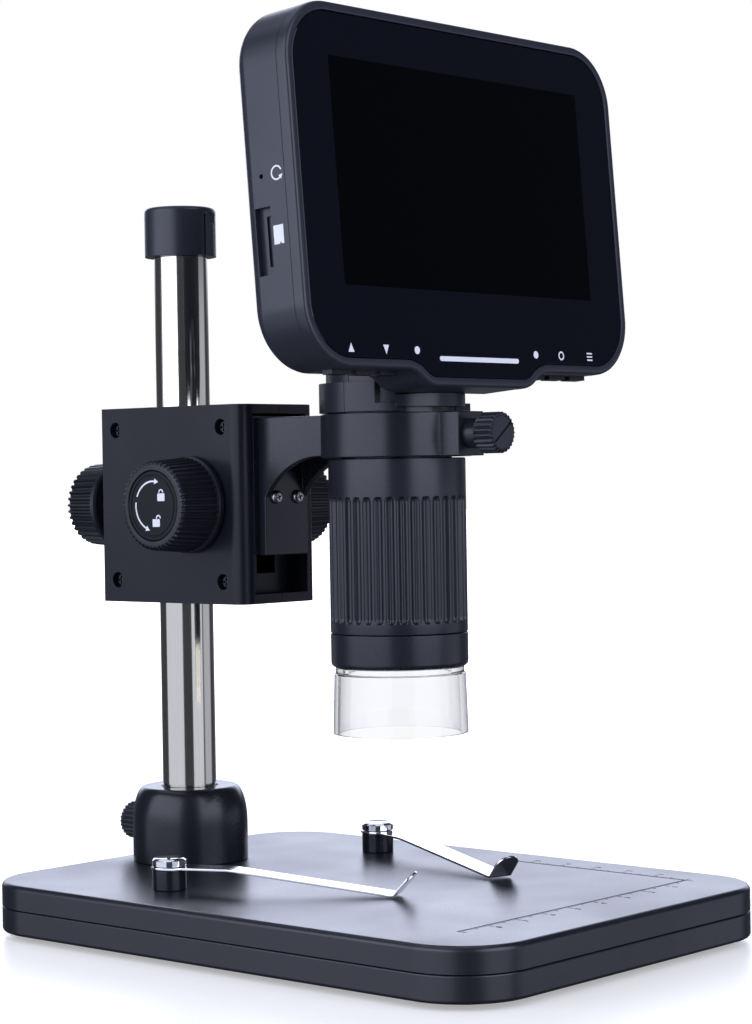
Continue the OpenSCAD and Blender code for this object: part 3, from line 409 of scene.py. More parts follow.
def noise_at(tree, scale, detail=2.0, stretch=None):
    """A noise texture on object coordinates, with its scale from a socket or a number."""
    where = tree.nodes.new("ShaderNodeTexCoord").outputs["Object"]
    if stretch:
        where = add_node(tree, "Mapping", {"Vector": where, "Scale": stretch}).outputs["Vector"]
    return add_node(tree, "TexNoise", {"Vector": where, "Scale": scale, "Detail": detail}).outputs["Fac"]


def moulded_grain():
    """Height of the fine texture that a mould leaves on plastic."""
    tree, given, result = start_group("moulded grain", {"Scale": 2200.0}, Height="Float")
    fine, coarse = noise_at(tree, given["Scale"], 3.0), noise_at(tree, 420.0)
    wire(tree, result["Height"], blend(tree, 0.25, fine, coarse))
    return tree


def uneven_gloss():
    """Roughness that drifts between two values over a few centimetres, with fine specks."""
    tree, given, result = start_group("uneven gloss", {"Smoothest": 0.3, "Roughest": 0.4}, Roughness="Float")
    drift = ramp(tree, blend(tree, 0.2, noise_at(tree, 38.0, 1.5), noise_at(tree, 900.0)), 0.32, 0.68)
    wire(tree, result["Roughness"], blend(tree, drift, given["Smoothest"], given["Roughest"]))
    return tree


# %% Rubbed edges and polishing lines
def rubbed_edges():
    """A colour that turns lighter along edges, found where a rounded normal leaves the true one."""
    inputs = {"Colour": (0.05, 0.05, 0.06), "Rubbed": (0.12, 0.12, 0.13), "Amount": 0.5}
    tree, given, result = start_group("rubbed edges", inputs, Colour="Color", Mask="Float")
    rounded = add_node(tree, "Bevel", {"Radius": 0.0004}, samples=4).outputs["Normal"]
    true = tree.nodes.new("ShaderNodeNewGeometry").outputs["Normal"]
    turn = add_node(tree, "VectorMath", {0: rounded, 1: true}, operation="DOT_PRODUCT").outputs["Value"]
    broken = calculate(tree, "MULTIPLY", ramp(tree, turn, 0.995, 0.9), noise_at(tree, 260.0, 3.0))
    mask = calculate(tree, "MULTIPLY", broken, given["Amount"], clamp=True)
    wire(tree, result["Colour"], blend(tree, mask, given["Colour"], given["Rubbed"], "RGBA"))
    wire(tree, result["Mask"], mask)
    return tree


def polished_lines():
    """Fine lines along Z from polishing: a value for the colour, and a height."""
    tree, given, result = start_group("polished lines", {"Scale": 2600.0}, Value="Float", Height="Float")
    lines = noise_at(tree, given["Scale"], 3.0, (1.0, 1.0, 0.012))
    cloud = noise_at(tree, 60.0, 3.0, (1.0, 1.0, 0.3))
    wire(tree, result["Value"], blend(tree, 0.45, lines, cloud))
    wire(tree, result["Height"], lines)
    return tree


GRAIN, GLOSS, RUBBED, LINES = moulded_grain(), uneven_gloss(), rubbed_edges(), polished_lines()
print("shared effects:", [tree.name for tree in (GRAIN, GLOSS, RUBBED, LINES)])

# %% [markdown]
# ## Finishes
#
# A finish is one Principled BSDF with the shared effects plugged in. Values that are the same all
# over go straight on the shader's own sockets, and only what changes over the surface is wired.

# %% A shader to start from
def start_finish(name, **sockets):
    """A new material and its Principled BSDF, with plain values set on its sockets."""
    material = bpy.data.materials.new(name)
    material.use_nodes = True
    tree = material.node_tree
    shader = tree.nodes["Principled BSDF"]
    for label, value in sockets.items():
        wire(tree, shader.inputs[label.replace("_", " ")], value)
    return material, tree, shader.inputs


def place_group(tree, group, **inputs):
    """Puts a shared effect into a material with its own values."""
    return add_node(tree, "Group", inputs, node_tree=group).outputs


def gloss_between(tree, shader, smoothest, roughest):
    """Lets the shader's roughness drift between two values."""
    gloss = place_group(tree, GLOSS, Smoothest=smoothest, Roughest=roughest)
    wire(tree, shader["Roughness"], gloss["Roughness"])


def bump_from(tree, shader, height, strength, distance):
    """Turns a height into the shader's normal."""
    bump = add_node(tree, "Bump", {"Strength": strength, "Distance": distance, "Height": height})
    wire(tree, shader["Normal"], bump.outputs["Normal"])


# %% Plastic and metal
GRAIN_DEPTH, LINE_DEPTH = 0.00005, 0.00002


def moulded(name, colour, smoothest, roughest, grain=2200.0, depth=0.3, rub=0.5, **sockets):
    """Moulded plastic, rubber or paint: grain, uneven gloss and rubbed edges."""
    material, tree, shader = start_finish(name, **sockets)
    lighter = tuple(min(1.0, 0.02 + 1.7 * part) for part in colour)
    edges = place_group(tree, RUBBED, Colour=colour, Rubbed=lighter, Amount=rub)
    wire(tree, shader["Base Color"], edges["Colour"])
    gloss_between(tree, shader, smoothest, roughest)
    bump_from(tree, shader, place_group(tree, GRAIN, Scale=grain)["Height"], depth, GRAIN_DEPTH)
    return material


def metal(name, dark, bright, smoothest, roughest, lines=2600.0, depth=0.1):
    """Bare metal with fine polishing lines."""
    material, tree, shader = start_finish(name, Metallic=1.0)
    brushed = place_group(tree, LINES, Scale=lines)
    wire(tree, shader["Base Color"], blend(tree, brushed["Value"], dark, bright, "RGBA"))
    gloss_between(tree, shader, smoothest, roughest)
    bump_from(tree, shader, brushed["Height"], depth, LINE_DEPTH)
    return material


# %% [markdown]
# The black parts are not all the same black. The case is satin, the base top has a slightly coarser
# texture that spreads the reflection of the room, the knobs are a little drier, and the keys are the
# darkest. Their colours are close together, so the difference is mostly in gloss and grain.

# %% Plastics, rubber and paint
satin_black = moulded("satin black", (0.0120, 0.0135, 0.0200), 0.26, 0.34, 2400.0, 0.22)
screen_grey = moulded("screen case grey", (0.0200, 0.0220, 0.0320), 0.30, 0.38, 2400.0, 0.22)
base_black = moulded("base black", (0.0085, 0.0095, 0.0150), 0.27, 0.35, 1500.0, 0.4, IOR=1.6)
case_black = moulded("case black", (0.0070, 0.0082, 0.0128), 0.27, 0.34, 2400.0, 0.12, IOR=1.35)
disc_black = moulded("disc black", (0.0035, 0.0045, 0.0075), 0.22, 0.28, 2600.0, 0.1, IOR=1.27)
screw_black = moulded("thumbscrew black", (0.0150, 0.0165, 0.0240), 0.30, 0.38, 2600.0, 0.15)
knob_black = moulded("knob black", (0.0085, 0.0095, 0.0140), 0.30, 0.40, 2600.0, 0.2)
cap_black = moulded("cap black", (0.0085, 0.0095, 0.0145), 0.22, 0.28, 2600.0, 0.12)
key_black = moulded("key black", (0.0080, 0.0085, 0.0120), 0.34, 0.42, 2600.0, 0.2)
painted_black = moulded("painted black", (0.0095, 0.0105, 0.0160), 0.24, 0.32, 1800.0, 0.14)
foot_rubber = moulded("foot rubber", (0.018, 0.018, 0.019), 0.62, 0.75, 1200.0, 0.6, 0.2)
natural_plastic = moulded("natural plastic", (0.78, 0.77, 0.72), 0.38, 0.5, 1800.0, 0.2, 0.1)
white_ink = moulded("white ink", (0.80, 0.81, 0.84), 0.45, 0.55, 3000.0, 0.15, 0.0)
grey_ink = moulded("grey ink", (0.050, 0.052, 0.064), 0.6, 0.7, 3000.0, 0.15, 0.0, IOR=1.2)
board_green = moulded("board green", (0.04, 0.20, 0.11), 0.25, 0.35, 900.0, 0.2, 0.3)
board_white = moulded("board white", (0.80, 0.81, 0.79), 0.3, 0.4, 900.0, 0.2, 0.0)
chip_black = moulded("chip black", (0.02, 0.02, 0.022), 0.35, 0.45, 1800.0, 0.3, 0.2)
foil_blue = moulded("battery foil", (0.32, 0.38, 0.47), 0.3, 0.45, 500.0, 0.5, 0.1, Metallic=0.3)

# %% Metals
column_steel = metal("column steel", (0.62, 0.59, 0.50), (0.80, 0.77, 0.67), 0.07, 0.12, 2600.0, 0.05)
clip_steel = metal("clip steel", (0.78, 0.78, 0.79), (0.92, 0.92, 0.93), 0.10, 0.17, 1800.0, 0.08)
chrome = metal("chrome", (0.80, 0.80, 0.81), (0.90, 0.90, 0.91), 0.03, 0.07, 1200.0, 0.02)
screw_zinc = metal("zinc screw", (0.42, 0.42, 0.42), (0.62, 0.61, 0.60), 0.24, 0.36, 1200.0, 0.2)
screw_dark = metal("dark screw", (0.030, 0.030, 0.034), (0.07, 0.07, 0.08), 0.30, 0.42, 1200.0, 0.2)
weight_steel = metal("weight steel", (0.22, 0.22, 0.22), (0.34, 0.33, 0.32), 0.4, 0.55, 500.0, 0.3)
brass = metal("brass", (0.55, 0.40, 0.17), (0.76, 0.59, 0.28), 0.18, 0.30, 1500.0, 0.15)

# %% [markdown]
# Glass needs care. The display's cover is black because it is printed from behind, so it is a smooth
# and nearly black surface, not a transparent sheet. The shroud is clear acrylic and really transmits
# light. Layer Weight gives how much a wall is slanted, and a power of it darkens the colour towards a
# deep blue at the rims, where one looks along the wall. This is partly the tint of thick acrylic and
# partly painted shade, standing in for the dark rims that refraction of the room shows.

# %% Glass and clear plastic
def smooth_gloss(name, colour, smoothest, roughest, **sockets):
    """A smooth material whose only unevenness is a faint haze."""
    material, tree, shader = start_finish(name, Base_Color=colour, **sockets)
    gloss_between(tree, shader, smoothest, roughest)
    return material


CLEAR, RIM_TINT_AND_PAINTED_SHADE, STEEPNESS = (0.975, 0.979, 1.0), (0.01, 0.02, 0.12), 2.5
cover_glass = smooth_gloss("cover glass", (0.0030, 0.0040, 0.0080), 0.03, 0.06, IOR=1.40)
picture_black = smooth_gloss("picture area", (0.0006, 0.0008, 0.0015), 0.03, 0.06, IOR=1.28)
lens_glass = smooth_gloss("lens glass", (0.86, 0.92, 1.0), 0.0, 0.01, Transmission_Weight=1.0, IOR=1.55)
led_dome = smooth_gloss("led dome", (0.93, 0.88, 0.62), 0.08, 0.15, Coat_Weight=0.6)
clear_acrylic = smooth_gloss("clear acrylic", CLEAR, 0.01, 0.03, Transmission_Weight=1.0, IOR=1.49)
wall_tree = clear_acrylic.node_tree
# Darker, bluer colour towards the rims: partly the tint of thick acrylic, partly painted shade.
slant = add_node(wall_tree, "LayerWeight", {"Blend": 0.5}).outputs["Facing"]
wall_tint_and_painted_shade = blend(wall_tree, calculate(wall_tree, "POWER", slant, STEEPNESS), CLEAR, RIM_TINT_AND_PAINTED_SHADE, "RGBA")
wire(wall_tree, wall_tree.nodes["Principled BSDF"].inputs["Base Color"], wall_tint_and_painted_shade)
print("finishes:", len(bpy.data.materials))

# %% [markdown]
# ## Parts that keep the frame's shape
#
# The case halves, the arm, the neck and the base tray have the right shape already. Each gets a
# merged copy with rounded edges. The inner parts are never seen from outside, so they only get
# their finish.

# %% Rounded copies of the cases
EASED = [
    # node, piece, finish, slot, edge radius
    ("base_bottom", "base_tray", base_black, "base_plastic", 0.25),
    ("column_cap", "column_top_cap", screen_grey, "black_plastic", 0.15),
    ("housing_left", "rack_case_left", case_black, "black_plastic", 0.15),
    ("housing_right", "rack_case_right", case_black, "black_plastic", 0.15),
    ("slide_block", "slide_plate", painted_black, "black_metal", 0.25),
    ("ring_arm", "arm_and_ring", painted_black, "black_metal", 0.3),
    ("neck_front", "neck_shell_front", satin_black, "black_plastic", 0.08),
    ("neck_rear", "neck_shell_rear", satin_black, "black_plastic", 0.06),
]
for node, name, finish, slot, width in EASED:
    eased_copy(node, name, finish, width)

# %% Finishes for the nodes that stay
KEPT = {
    "black_plastic": satin_black, "base_plastic": base_black, "key_plastic": key_black,
    "cap_plastic": cap_black, "black_metal": painted_black, "rubber": foot_rubber,
    "steel": column_steel, "spring_steel": clip_steel, "chrome": chrome, "screw_steel": screw_zinc,
    "weight_steel": weight_steel, "brass": brass, "bush_plastic": natural_plastic,
    "board": board_green, "white_board": board_white, "led": led_dome, "chip": chip_black,
    "battery_foil": foil_blue, "screen": picture_black, "cover_glass": cover_glass,
    "lens_glass": lens_glass, "clear_plastic": clear_acrylic,
}
for node, thing in nodes.items():
    for index, old in enumerate(thing.data.materials):
        wanted = [finish for slot, finish in KEPT.items() if old and old.name.split(".")[0] == slot]
        if wanted:
            thing.data.materials[index] = wanted[0]
        else:
            print("no finish for", node, old.name if old else None)
nodes["housing_screws"].data.materials[0] = screw_dark

# %% [markdown]
# ## The base cover
#
# The cover is a shallow tray turned upside down: a slab with large round corners, a soft edge along
# its top, and a hollow below. A rounded rectangle is raised to its height, its top edge is bevelled
# with enough segments for a smooth highlight, and the underside is inset and pushed in.

# %% Base cover
def edges_at(bm, height):
    """The edges that lie at a height."""
    return [e for e in bm.edges if all(abs(v.co.z - height) < 0.01 for v in e.verts)]


def faces_at(bm, height, way=1):
    """The flat faces at a height that look up, or down with a way of -1."""
    return [f for f in bm.faces if abs(f.calc_center_median().z - height) < 0.01 and f.normal.z * way > 0.9]


BASE_CORNER, BASE_EDGE, BASE_WALL = 18.0, 1.4, 2.4
base_low, base_high = node_box("base_top")
base_size, base_centre = base_high - base_low, (base_high + base_low) / 2
bm = bmesh.new()
rectangle(bm, base_centre.x, base_centre.y, base_size.x, base_size.y, BASE_CORNER, 24)
raise_faces(bm, base_size.z, base_low.z)
bevel(bm, edges_at(bm, base_high.z), BASE_EDGE, 6)
bmesh.ops.inset_region(bm, faces=faces_at(bm, base_low.z, -1), thickness=BASE_WALL, use_even_offset=True)
hollow = max(faces_at(bm, base_low.z, -1), key=lambda face: face.calc_area())
push(bm, [hollow], (0, 0, base_size.z - BASE_WALL))
make_piece(bm, "base_cover", base_black, "base", ["base_top"])

# %% [markdown]
# ## The ruler on the base
#
# A right-angled scale is printed near the front right corner. Each line is a thin rectangle of ink,
# and the numbers are text turned into flat faces. All of it together is one piece, raised just
# enough to lie on the plastic.

# %% Numbers as flat faces
def numeral(bm, number, x, y):
    """Adds a number as flat faces about a place."""
    curve = bpy.data.curves.new("numeral", "FONT")
    curve.body, curve.size, curve.resolution_u = str(number), 2.4, 2
    curve.align_x, curve.align_y = "CENTER", "CENTER"
    holder = bpy.data.objects.new("numeral", curve)
    flat = bpy.data.meshes.new_from_object(holder)
    flat.transform(at(x, y))
    bm.from_mesh(flat)
    bpy.data.objects.remove(holder)
    bpy.data.curves.remove(curve)
    bpy.data.meshes.remove(flat)


# %% Printed scale
INK, LINE, FINE_LINE, NUMBER_AWAY = 0.04, 0.3, 0.16, 4.1
RULER_X, RULER_Y, RULER_WIDE, RULER_LONG = 47.5, base_centre.y - 65.0, 90, 55
bm = bmesh.new()
rectangle(bm, RULER_X - RULER_WIDE / 2, RULER_Y, RULER_WIDE + LINE, LINE)
rectangle(bm, RULER_X, RULER_Y + RULER_LONG / 2, LINE, RULER_LONG)
for step in range(0, RULER_WIDE + 1):
    tick = 2.6 if step % 10 == 0 else 1.8 if step % 5 == 0 else 1.0
    rectangle(bm, RULER_X - step, RULER_Y - tick / 2, FINE_LINE, tick)
    if step <= RULER_LONG:
        rectangle(bm, RULER_X + tick / 2, RULER_Y + step, tick, FINE_LINE)
for number in range(1, 9):
    numeral(bm, number, RULER_X - 10 * number, RULER_Y - NUMBER_AWAY)
for number in range(1, 6):
    numeral(bm, number, RULER_X + NUMBER_AWAY, RULER_Y + 10 * number)
raise_faces(bm, INK, base_high.z)
make_piece(bm, "base_scale", grey_ink, "base")

# %% [markdown]
# ## The plate behind the slide
#
# Below the slide plate the housing's front is open. A thin plate behind the slide keeps dust off the
# rack and gives the opening a floor that catches some light. It is one flat face with a notch for
# the rack to travel in, made thick and stood upright.

# %% Dust plate
INNER_HALF, RACK_HALF, PLATE_FRONT, PLATE_THICK = 11.8, 3.5, 26.7, 0.5
PLATE_LOW, NOTCH_LOW, PLATE_HIGH = 87.6, 93.0, 104.0
bm = bmesh.new()
polygon(bm, [
    (-INNER_HALF, PLATE_LOW), (INNER_HALF, PLATE_LOW), (INNER_HALF, PLATE_HIGH), (RACK_HALF, PLATE_HIGH),
    (RACK_HALF, NOTCH_LOW), (-RACK_HALF, NOTCH_LOW), (-RACK_HALF, PLATE_HIGH), (-INNER_HALF, PLATE_HIGH),
])
raise_faces(bm, PLATE_THICK)
upright = at(0, PLATE_FRONT + PLATE_THICK) @ turned(90, "X")
make_piece(bm, "dust_plate", case_black, "housing", place=upright)

# %% [markdown]
# ## The column and its foot
#
# The column is a polished tube, and the foot is a plastic dome with a straight lower half. Both are
# turned: the foot's section is a few points along its curve, and the bevel by angle rounds the lip
# round the column.

# %% Column and foot
COLUMN_Y, TUBE_WALL, FOOT_NECK = 57.0, 1.5, 12.15
tube_low, tube_high = node_box("column_tube")
tube_radius = (tube_high.x - tube_low.x) / 2
bm = spun([
    (tube_radius - TUBE_WALL, tube_low.z), (tube_radius, tube_low.z), (tube_radius, tube_high.z),
    (tube_radius - TUBE_WALL, tube_high.z),
], 128)
soften(bm, 0.25)
make_piece(bm, "steel_column", column_steel, "column", ["column_tube"], at(0, COLUMN_Y))

foot_low, foot_high = node_box("column_collar")
foot_radius, foot_height = (foot_high.x - foot_low.x) / 2, foot_high.z - foot_low.z
dome = [
    (FOOT_NECK + (foot_radius - FOOT_NECK) * out, foot_height / 2 * (1 + up))
    for out, up in quarter_circle(9)
]
bm = spun([
    (0, 0), (foot_radius, 0), *dome, (tube_radius + 0.35, foot_height), (tube_radius + 0.05, 2), (0, 2),
], 128)
soften(bm, 0.4, 3, 40)
place = at(0, COLUMN_Y, foot_low.z)
make_piece(bm, "column_foot", cap_black, "base", ["column_collar"], place)

# %% [markdown]
# ## Spring clips
#
# A clip is a strip of bright spring steel: an eye round its post, a flat part, a slope down to the
# base, and a tip that is bent up so that a slide can be pushed under it. The outline is one flat
# face with rounded corners. It is sliced across where it bends, each slice follows the bend, and
# solidify gives the strip its thickness.

# %% How the strip bends
CLIP_WIDTH, CLIP_THICK, CLIP_FLAT, CLIP_REACH, CLIP_TIP = 6.6, 0.6, 16.0, 60.0, 7.6
CLIP_LIFT, CLIP_EASE, CLIP_BEND = math.radians(48.0), 3.0, 1.8
POST_X, POST_Y, POST_TOP = 39.8, 23.9, 5.2
clip_low = base_high.z + 0.15
clip_high = base_high.z + POST_TOP + 0.1
clip_drop = (clip_high - clip_low) / (CLIP_REACH - CLIP_FLAT)
bend_start = CLIP_REACH - CLIP_BEND / 2


def bend_strip(distance):
    """Where a point of the flat strip ends up: how far along, and how high."""
    down = max(0.0, min(distance, bend_start) - CLIP_FLAT)
    ease = min(1.0, down / CLIP_EASE)
    height = clip_high - clip_drop * (down - CLIP_EASE / 4 * ease * (2 - ease))
    past = distance - bend_start
    if past <= 0:
        return distance, height
    arc = min(past, CLIP_BEND)
    share = arc / CLIP_BEND
    along = bend_start + arc * math.cos(CLIP_LIFT * share / 2)
    height += arc * math.sin(CLIP_LIFT * share / 2) * share
    return along + (past - arc) * math.cos(CLIP_LIFT), height + (past - arc) * math.sin(CLIP_LIFT)


print("height of the clips' lowest bend in mm:", round(bend_strip(bend_start)[1], 2))


# %% Clip strips
def clip_strip():
    """One strip along -Y from its post."""
    bm = bmesh.new()
    half, eye, end = CLIP_WIDTH / 2, CLIP_WIDTH / 2 + 1.3, CLIP_REACH + CLIP_TIP
    corners = list(polygon(bm, [
        (-half, -end), (half, -end), (half, -eye), (eye, -eye * 0.7), (eye, eye), (-eye, eye),
        (-eye, -eye * 0.7), (-half, -eye),
    ]).verts)
    bevel(bm, corners[:2], half * 0.92, 10, "VERTICES")
    bevel(bm, corners[4:6], eye * 0.98, 14, "VERTICES")
    cuts = [CLIP_FLAT + 0.5 * step for step in range(0, 8)]
    cuts += [CLIP_REACH - 1.4 + 0.2 * step for step in range(0, 14)] + [CLIP_REACH - 3.4, CLIP_REACH - 2.0]
    for distance in cuts:
        bmesh.ops.bisect_plane(
            bm, geom=bm.verts[:] + bm.edges[:] + bm.faces[:], plane_co=(0, -distance, 0), plane_no=(0, 1, 0)
        )
    for vert in bm.verts:
        along, vert.co.z = bend_strip(-vert.co.y)
        vert.co.y = -along
    bmesh.ops.recalc_face_normals(bm, faces=bm.faces)
    if bm.faces[:][0].normal.z < 0:
        bmesh.ops.reverse_faces(bm, faces=bm.faces)
    bmesh.ops.solidify(bm, geom=bm.faces[:], thickness=-CLIP_THICK)
    bmesh.ops.recalc_face_normals(bm, faces=bm.faces)
    soften(bm, 0.12, 2, 50)
    return bm


for side, node, angle in ((-1, "clip_left", 24.6), (1, "clip_right", -17.0)):
    place = at(side * POST_X, POST_Y) @ turned(angle, "Z")
    name = node.replace("clip", "clip_strip")
    make_piece(clip_strip(), name, clip_steel, node, [node], place)

# %% Clip posts and their chromed buttons
HEAD, SEAT = 4.3, POST_TOP + CLIP_THICK + 0.2
post = [(0, 0), (HEAD, 0), (HEAD, POST_TOP), (1.3, POST_TOP), (1.3, 2), (0, 2)]
button = [
    (0, 2.2), (1.2, 2.2), (1.2, POST_TOP), (1.6, POST_TOP), (1.6, SEAT), (HEAD, SEAT), (HEAD, SEAT + 1.5),
    (3.9, SEAT + 1.95), (3.3, SEAT + 2.15), (0, SEAT + 2.2),
]
posts, buttons = bmesh.new(), bmesh.new()
for side in (-1, 1):
    for section, target in ((post, posts), (button, buttons)):
        join(target, spun(section, 64), at(side * POST_X, POST_Y, base_high.z))
soften(posts, 0.3)
soften(buttons, 0.15, 3, 50)
make_piece(posts, "clip_post_pair", cap_black, "base", ["clip_posts"])
make_piece(buttons, "clip_button_pair", chrome, "base", ["clip_buttons"])

# %% [markdown]
# ## Thumbscrews
#
# Two small screws with knurled heads lock the column and the head. The knurl is a fluted wall with
# fine grooves, and the end face is dished and has a slot. The slot is made by slicing the end face
# along the slot's two sides and pushing the strip between them in.

# %% Slots and cross recesses
def once(parts):
    """Each part once, in the order in which they come."""
    return list(dict.fromkeys(parts))


def slice_faces(bm, faces, place, across):
    """Cuts a few faces along a plane."""
    around = once(part for face in faces for part in (*face.edges, *face.verts))
    bmesh.ops.bisect_plane(bm, geom=faces + around, dist=0.002, plane_co=place, plane_no=across)


def cut_recess(bm, height, half_width, half_length, depth, turns):
    """Sinks a slot for each angle into the flat face at a height; a length of 0 goes right across."""
    slots = []
    for angle in turns:
        along = turned(angle, "Z") @ Vector((1, 0, 0))
        slots.append((along, Vector((-along.y, along.x, 0))))
    for along, side in slots:
        lines = [(side, half_width), (side, -half_width)]
        if half_length:
            lines += [(along, half_length), (along, -half_length)]
        for normal, offset in lines:
            slice_faces(bm, faces_at(bm, height), normal * offset + Vector((0, 0, height)), normal)
    chosen = []
    for face in faces_at(bm, height):
        middle = face.calc_center_median()
        if any(
            abs(middle.dot(side)) < half_width and (not half_length or abs(middle.dot(along)) < half_length)
            for along, side in slots
        ):
            chosen.append(face)
    push(bm, chosen, (0, 0, -depth))


# %% Thumbscrews
SHANK_RADIUS, KNURLS, SLOT_TURN = 2.0, 26, 38


def thumb_head(radius, length, neck_radius, neck_length, shank_length):
    """A knurled head along Z, with a neck and a shank below it."""
    bm = fluted([
        (SHANK_RADIUS, -neck_length - shank_length, 0), (SHANK_RADIUS, -neck_length, 0),
        (neck_radius, -neck_length, 0), (neck_radius, 0, 0), (radius - 0.55, 0, 0), (radius, 0.5, 0),
        (radius, 0.8), (radius, length - 0.75), (radius - 0.25, length - 0.3), (radius - 0.75, length, 0.5),
        (radius - 1.0, length, 0), (radius - 1.15, length - 0.25, 0),
    ], KNURLS, round_groove(0.8, 0.38, 0.55, length + 1))
    cut_recess(bm, length - 0.25, 0.35, 0, 0.6, [SLOT_TURN])
    return bm


for node, name, away, length, neck_radius, neck_length in (
    ("collar_thumbscrew", "column_lock_screw", 1, 6.2, 3.4, 1.2),
    ("ring_thumbscrew", "head_lock_screw", -1, 6.0, 3.7, 4.0),
):
    low, high = node_box(node)
    shank_length = high.y - low.y - length - neck_length
    start = high.y - length if away > 0 else low.y + length
    place = at(0, start, (low.z + high.z) / 2) @ turned(-90 * away, "X")
    bm = thumb_head((high.x - low.x) / 2, length, neck_radius, neck_length, shank_length)
    make_piece(bm, name, screw_black, node, [node], place)

# %% [markdown]
# ## Knobs
#
# The two focus knobs taper a little and have a smooth rim at the housing. Their grooves run out at
# the end face, so the edge looks like a fine gear. The end face has a seat for a thin disc. The clamp
# knob behind the column is cut by the same function and sits on a plain hub.

# %% Focus knobs
KNOB_RADIUS, KNOB_END, KNOB_FLUTES, RIM_STEP, FLUTE_START = 12.8, 11.7, 48, 0.3, 2.2


def grip_knob(low_radius, end_radius, length, flutes, depth, seat_radius, seat_depth):
    """A fluted knob along Z with a smooth rim below and a sunk seat in its end."""
    waist = low_radius - RIM_STEP
    slope = (waist - end_radius) / (length - 1 - FLUTE_START)
    walls = [(waist - slope * (z - FLUTE_START), z) for z in (FLUTE_START, 2.5, 3.0, length - 1)]
    return fluted([
        (low_radius - 0.6, 0, 0), (low_radius, 0.5, 0), (low_radius, 1.6, 0), (waist, 1.95, 0),
        (waist, 2.15, 0), *walls, (end_radius - 0.25, length - 0.35), (end_radius - 0.8, length, 0.8),
        (end_radius - 1.5, length, 0), (seat_radius + 0.2, length, 0), (seat_radius + 0.05, length - 0.2, 0),
        (seat_radius + 0.05, length - seat_depth, 0),
    ], flutes, round_groove(0.72, depth, FLUTE_START, length + 1))


knob_low, knob_high = node_box("focus_knob_left")
knob_centre = (knob_low + knob_high) / 2
for side, word in ((-1, "left"), (1, "right")):
    place = at(-side * knob_high.x, knob_centre.y, knob_centre.z) @ turned(90 * side, "Y")
    bm = grip_knob(KNOB_RADIUS, KNOB_END, knob_high.x - knob_low.x, KNOB_FLUTES, 0.45, 9.2, 1.6)
    node = f"focus_knob_{word}"
    make_piece(bm, f"focus_wheel_{word}", knob_black, "focus_shaft", [node], place)

# %% Clamp knob
CLAMP_LENGTH, CLAMP_RADIUS, CLAMP_FLUTES, HUB_RADIUS, HUB_STEP = 12.3, 12.0, 38, 8.6, 9.0
clamp_low, clamp_high = node_box("clamp_knob")
clamp_start, clamp_z = clamp_high.y - CLAMP_LENGTH, (clamp_low.z + clamp_high.z) / 2
bm = grip_knob(CLAMP_RADIUS, CLAMP_RADIUS - 0.7, CLAMP_LENGTH, CLAMP_FLUTES, 0.75, HUB_RADIUS, 0.5)
place = at(0, clamp_start, clamp_z) @ turned(-90, "X")
make_piece(bm, "clamp_wheel", knob_black, "clamp_knob", (), place)
bm = spun([
    (0, 0), (3, 0), (3, HUB_STEP), (HUB_RADIUS, HUB_STEP + 0.2), (HUB_RADIUS, clamp_start - clamp_low.y),
    (0, clamp_start - clamp_low.y),
])
soften(bm, 0.3)
place = at(0, clamp_low.y, clamp_z) @ turned(-90, "X")
make_piece(bm, "clamp_hub", knob_black, "clamp_knob", ["clamp_knob"], place)

# %% [markdown]
# ## The discs in the knobs
#
# A thin disc closes each focus knob. The left one shows which way to turn: two arcs with arrows, and
# a closed and an open padlock in place of words. An arc is one short edge spun through its angle.

# %% Knob discs
def padlock(bm, x, y, size, closed):
    """A small padlock: a body, and a shackle that stands open or closed."""
    rectangle(bm, x, y - size * 0.25, size, size * 0.75, size * 0.1, 3)
    shift = 0.0 if closed else size * 0.3
    arc_band(bm, x + shift, y + size * 0.2, size * 0.2, size * 0.34, 0, 180, 12)
    rectangle(bm, x + shift - size * 0.27, y + size * 0.16, size * 0.14, size * 0.16)


facing = {
    -1: Matrix(((0, 0, -1), (-1, 0, 0), (0, 1, 0))).to_4x4(),
    1: Matrix(((0, 0, 1), (1, 0, 0), (0, 1, 0))).to_4x4(),
}
DISC_RADIUS, DISC_THICK, DISC_GROOVE = 9.15, 1.4, 1.22
disc_out = node_box("knob_caps")[1].x
section = [
    (0, 0), (DISC_RADIUS, 0), (DISC_RADIUS, DISC_THICK - 0.2), (DISC_RADIUS - 0.2, DISC_THICK),
    (DISC_RADIUS - 0.9, DISC_THICK), (DISC_RADIUS - 1.05, DISC_GROOVE), (DISC_RADIUS - 1.25, DISC_GROOVE),
    (DISC_RADIUS - 1.4, DISC_THICK), (0, DISC_THICK),
]
discs = bmesh.new()
for side in (-1, 1):
    place = at(side * (disc_out - DISC_THICK), knob_centre.y, knob_centre.z) @ facing[side]
    join(discs, spun(section), place)
make_piece(discs, "knob_discs", disc_black, "focus_shaft", ["knob_caps"])

# %% Marks on the left disc
ARC_IN, ARC_OUT, ARC_TIP, LOCK_SIZE = 6.15, 6.6, 6.4, 2.7
bm = bmesh.new()
for start, end in ((84, 158), (172, 246)):
    arc_band(bm, 0, 0, ARC_IN, ARC_OUT, start, end)
arrow_tip(bm, 0, 0, ARC_TIP, 84, 0.75, -1)
arrow_tip(bm, 0, 0, ARC_TIP, 246, 0.75, 1)
padlock(bm, 3.1, 2.9, LOCK_SIZE, closed=True)
padlock(bm, 1.2, -3.8, LOCK_SIZE, closed=False)
raise_faces(bm, INK)
place = at(-disc_out, knob_centre.y, knob_centre.z) @ facing[-1]
make_piece(bm, "knob_mark", white_ink, "focus_shaft", place=place)

# %% [markdown]
# ## Screws
#
# Two small cross-head screws hold the arm to the slide. Their heads are low domes with a real cross
# cut into them, because a painted cross would look flat as soon as the light moves.

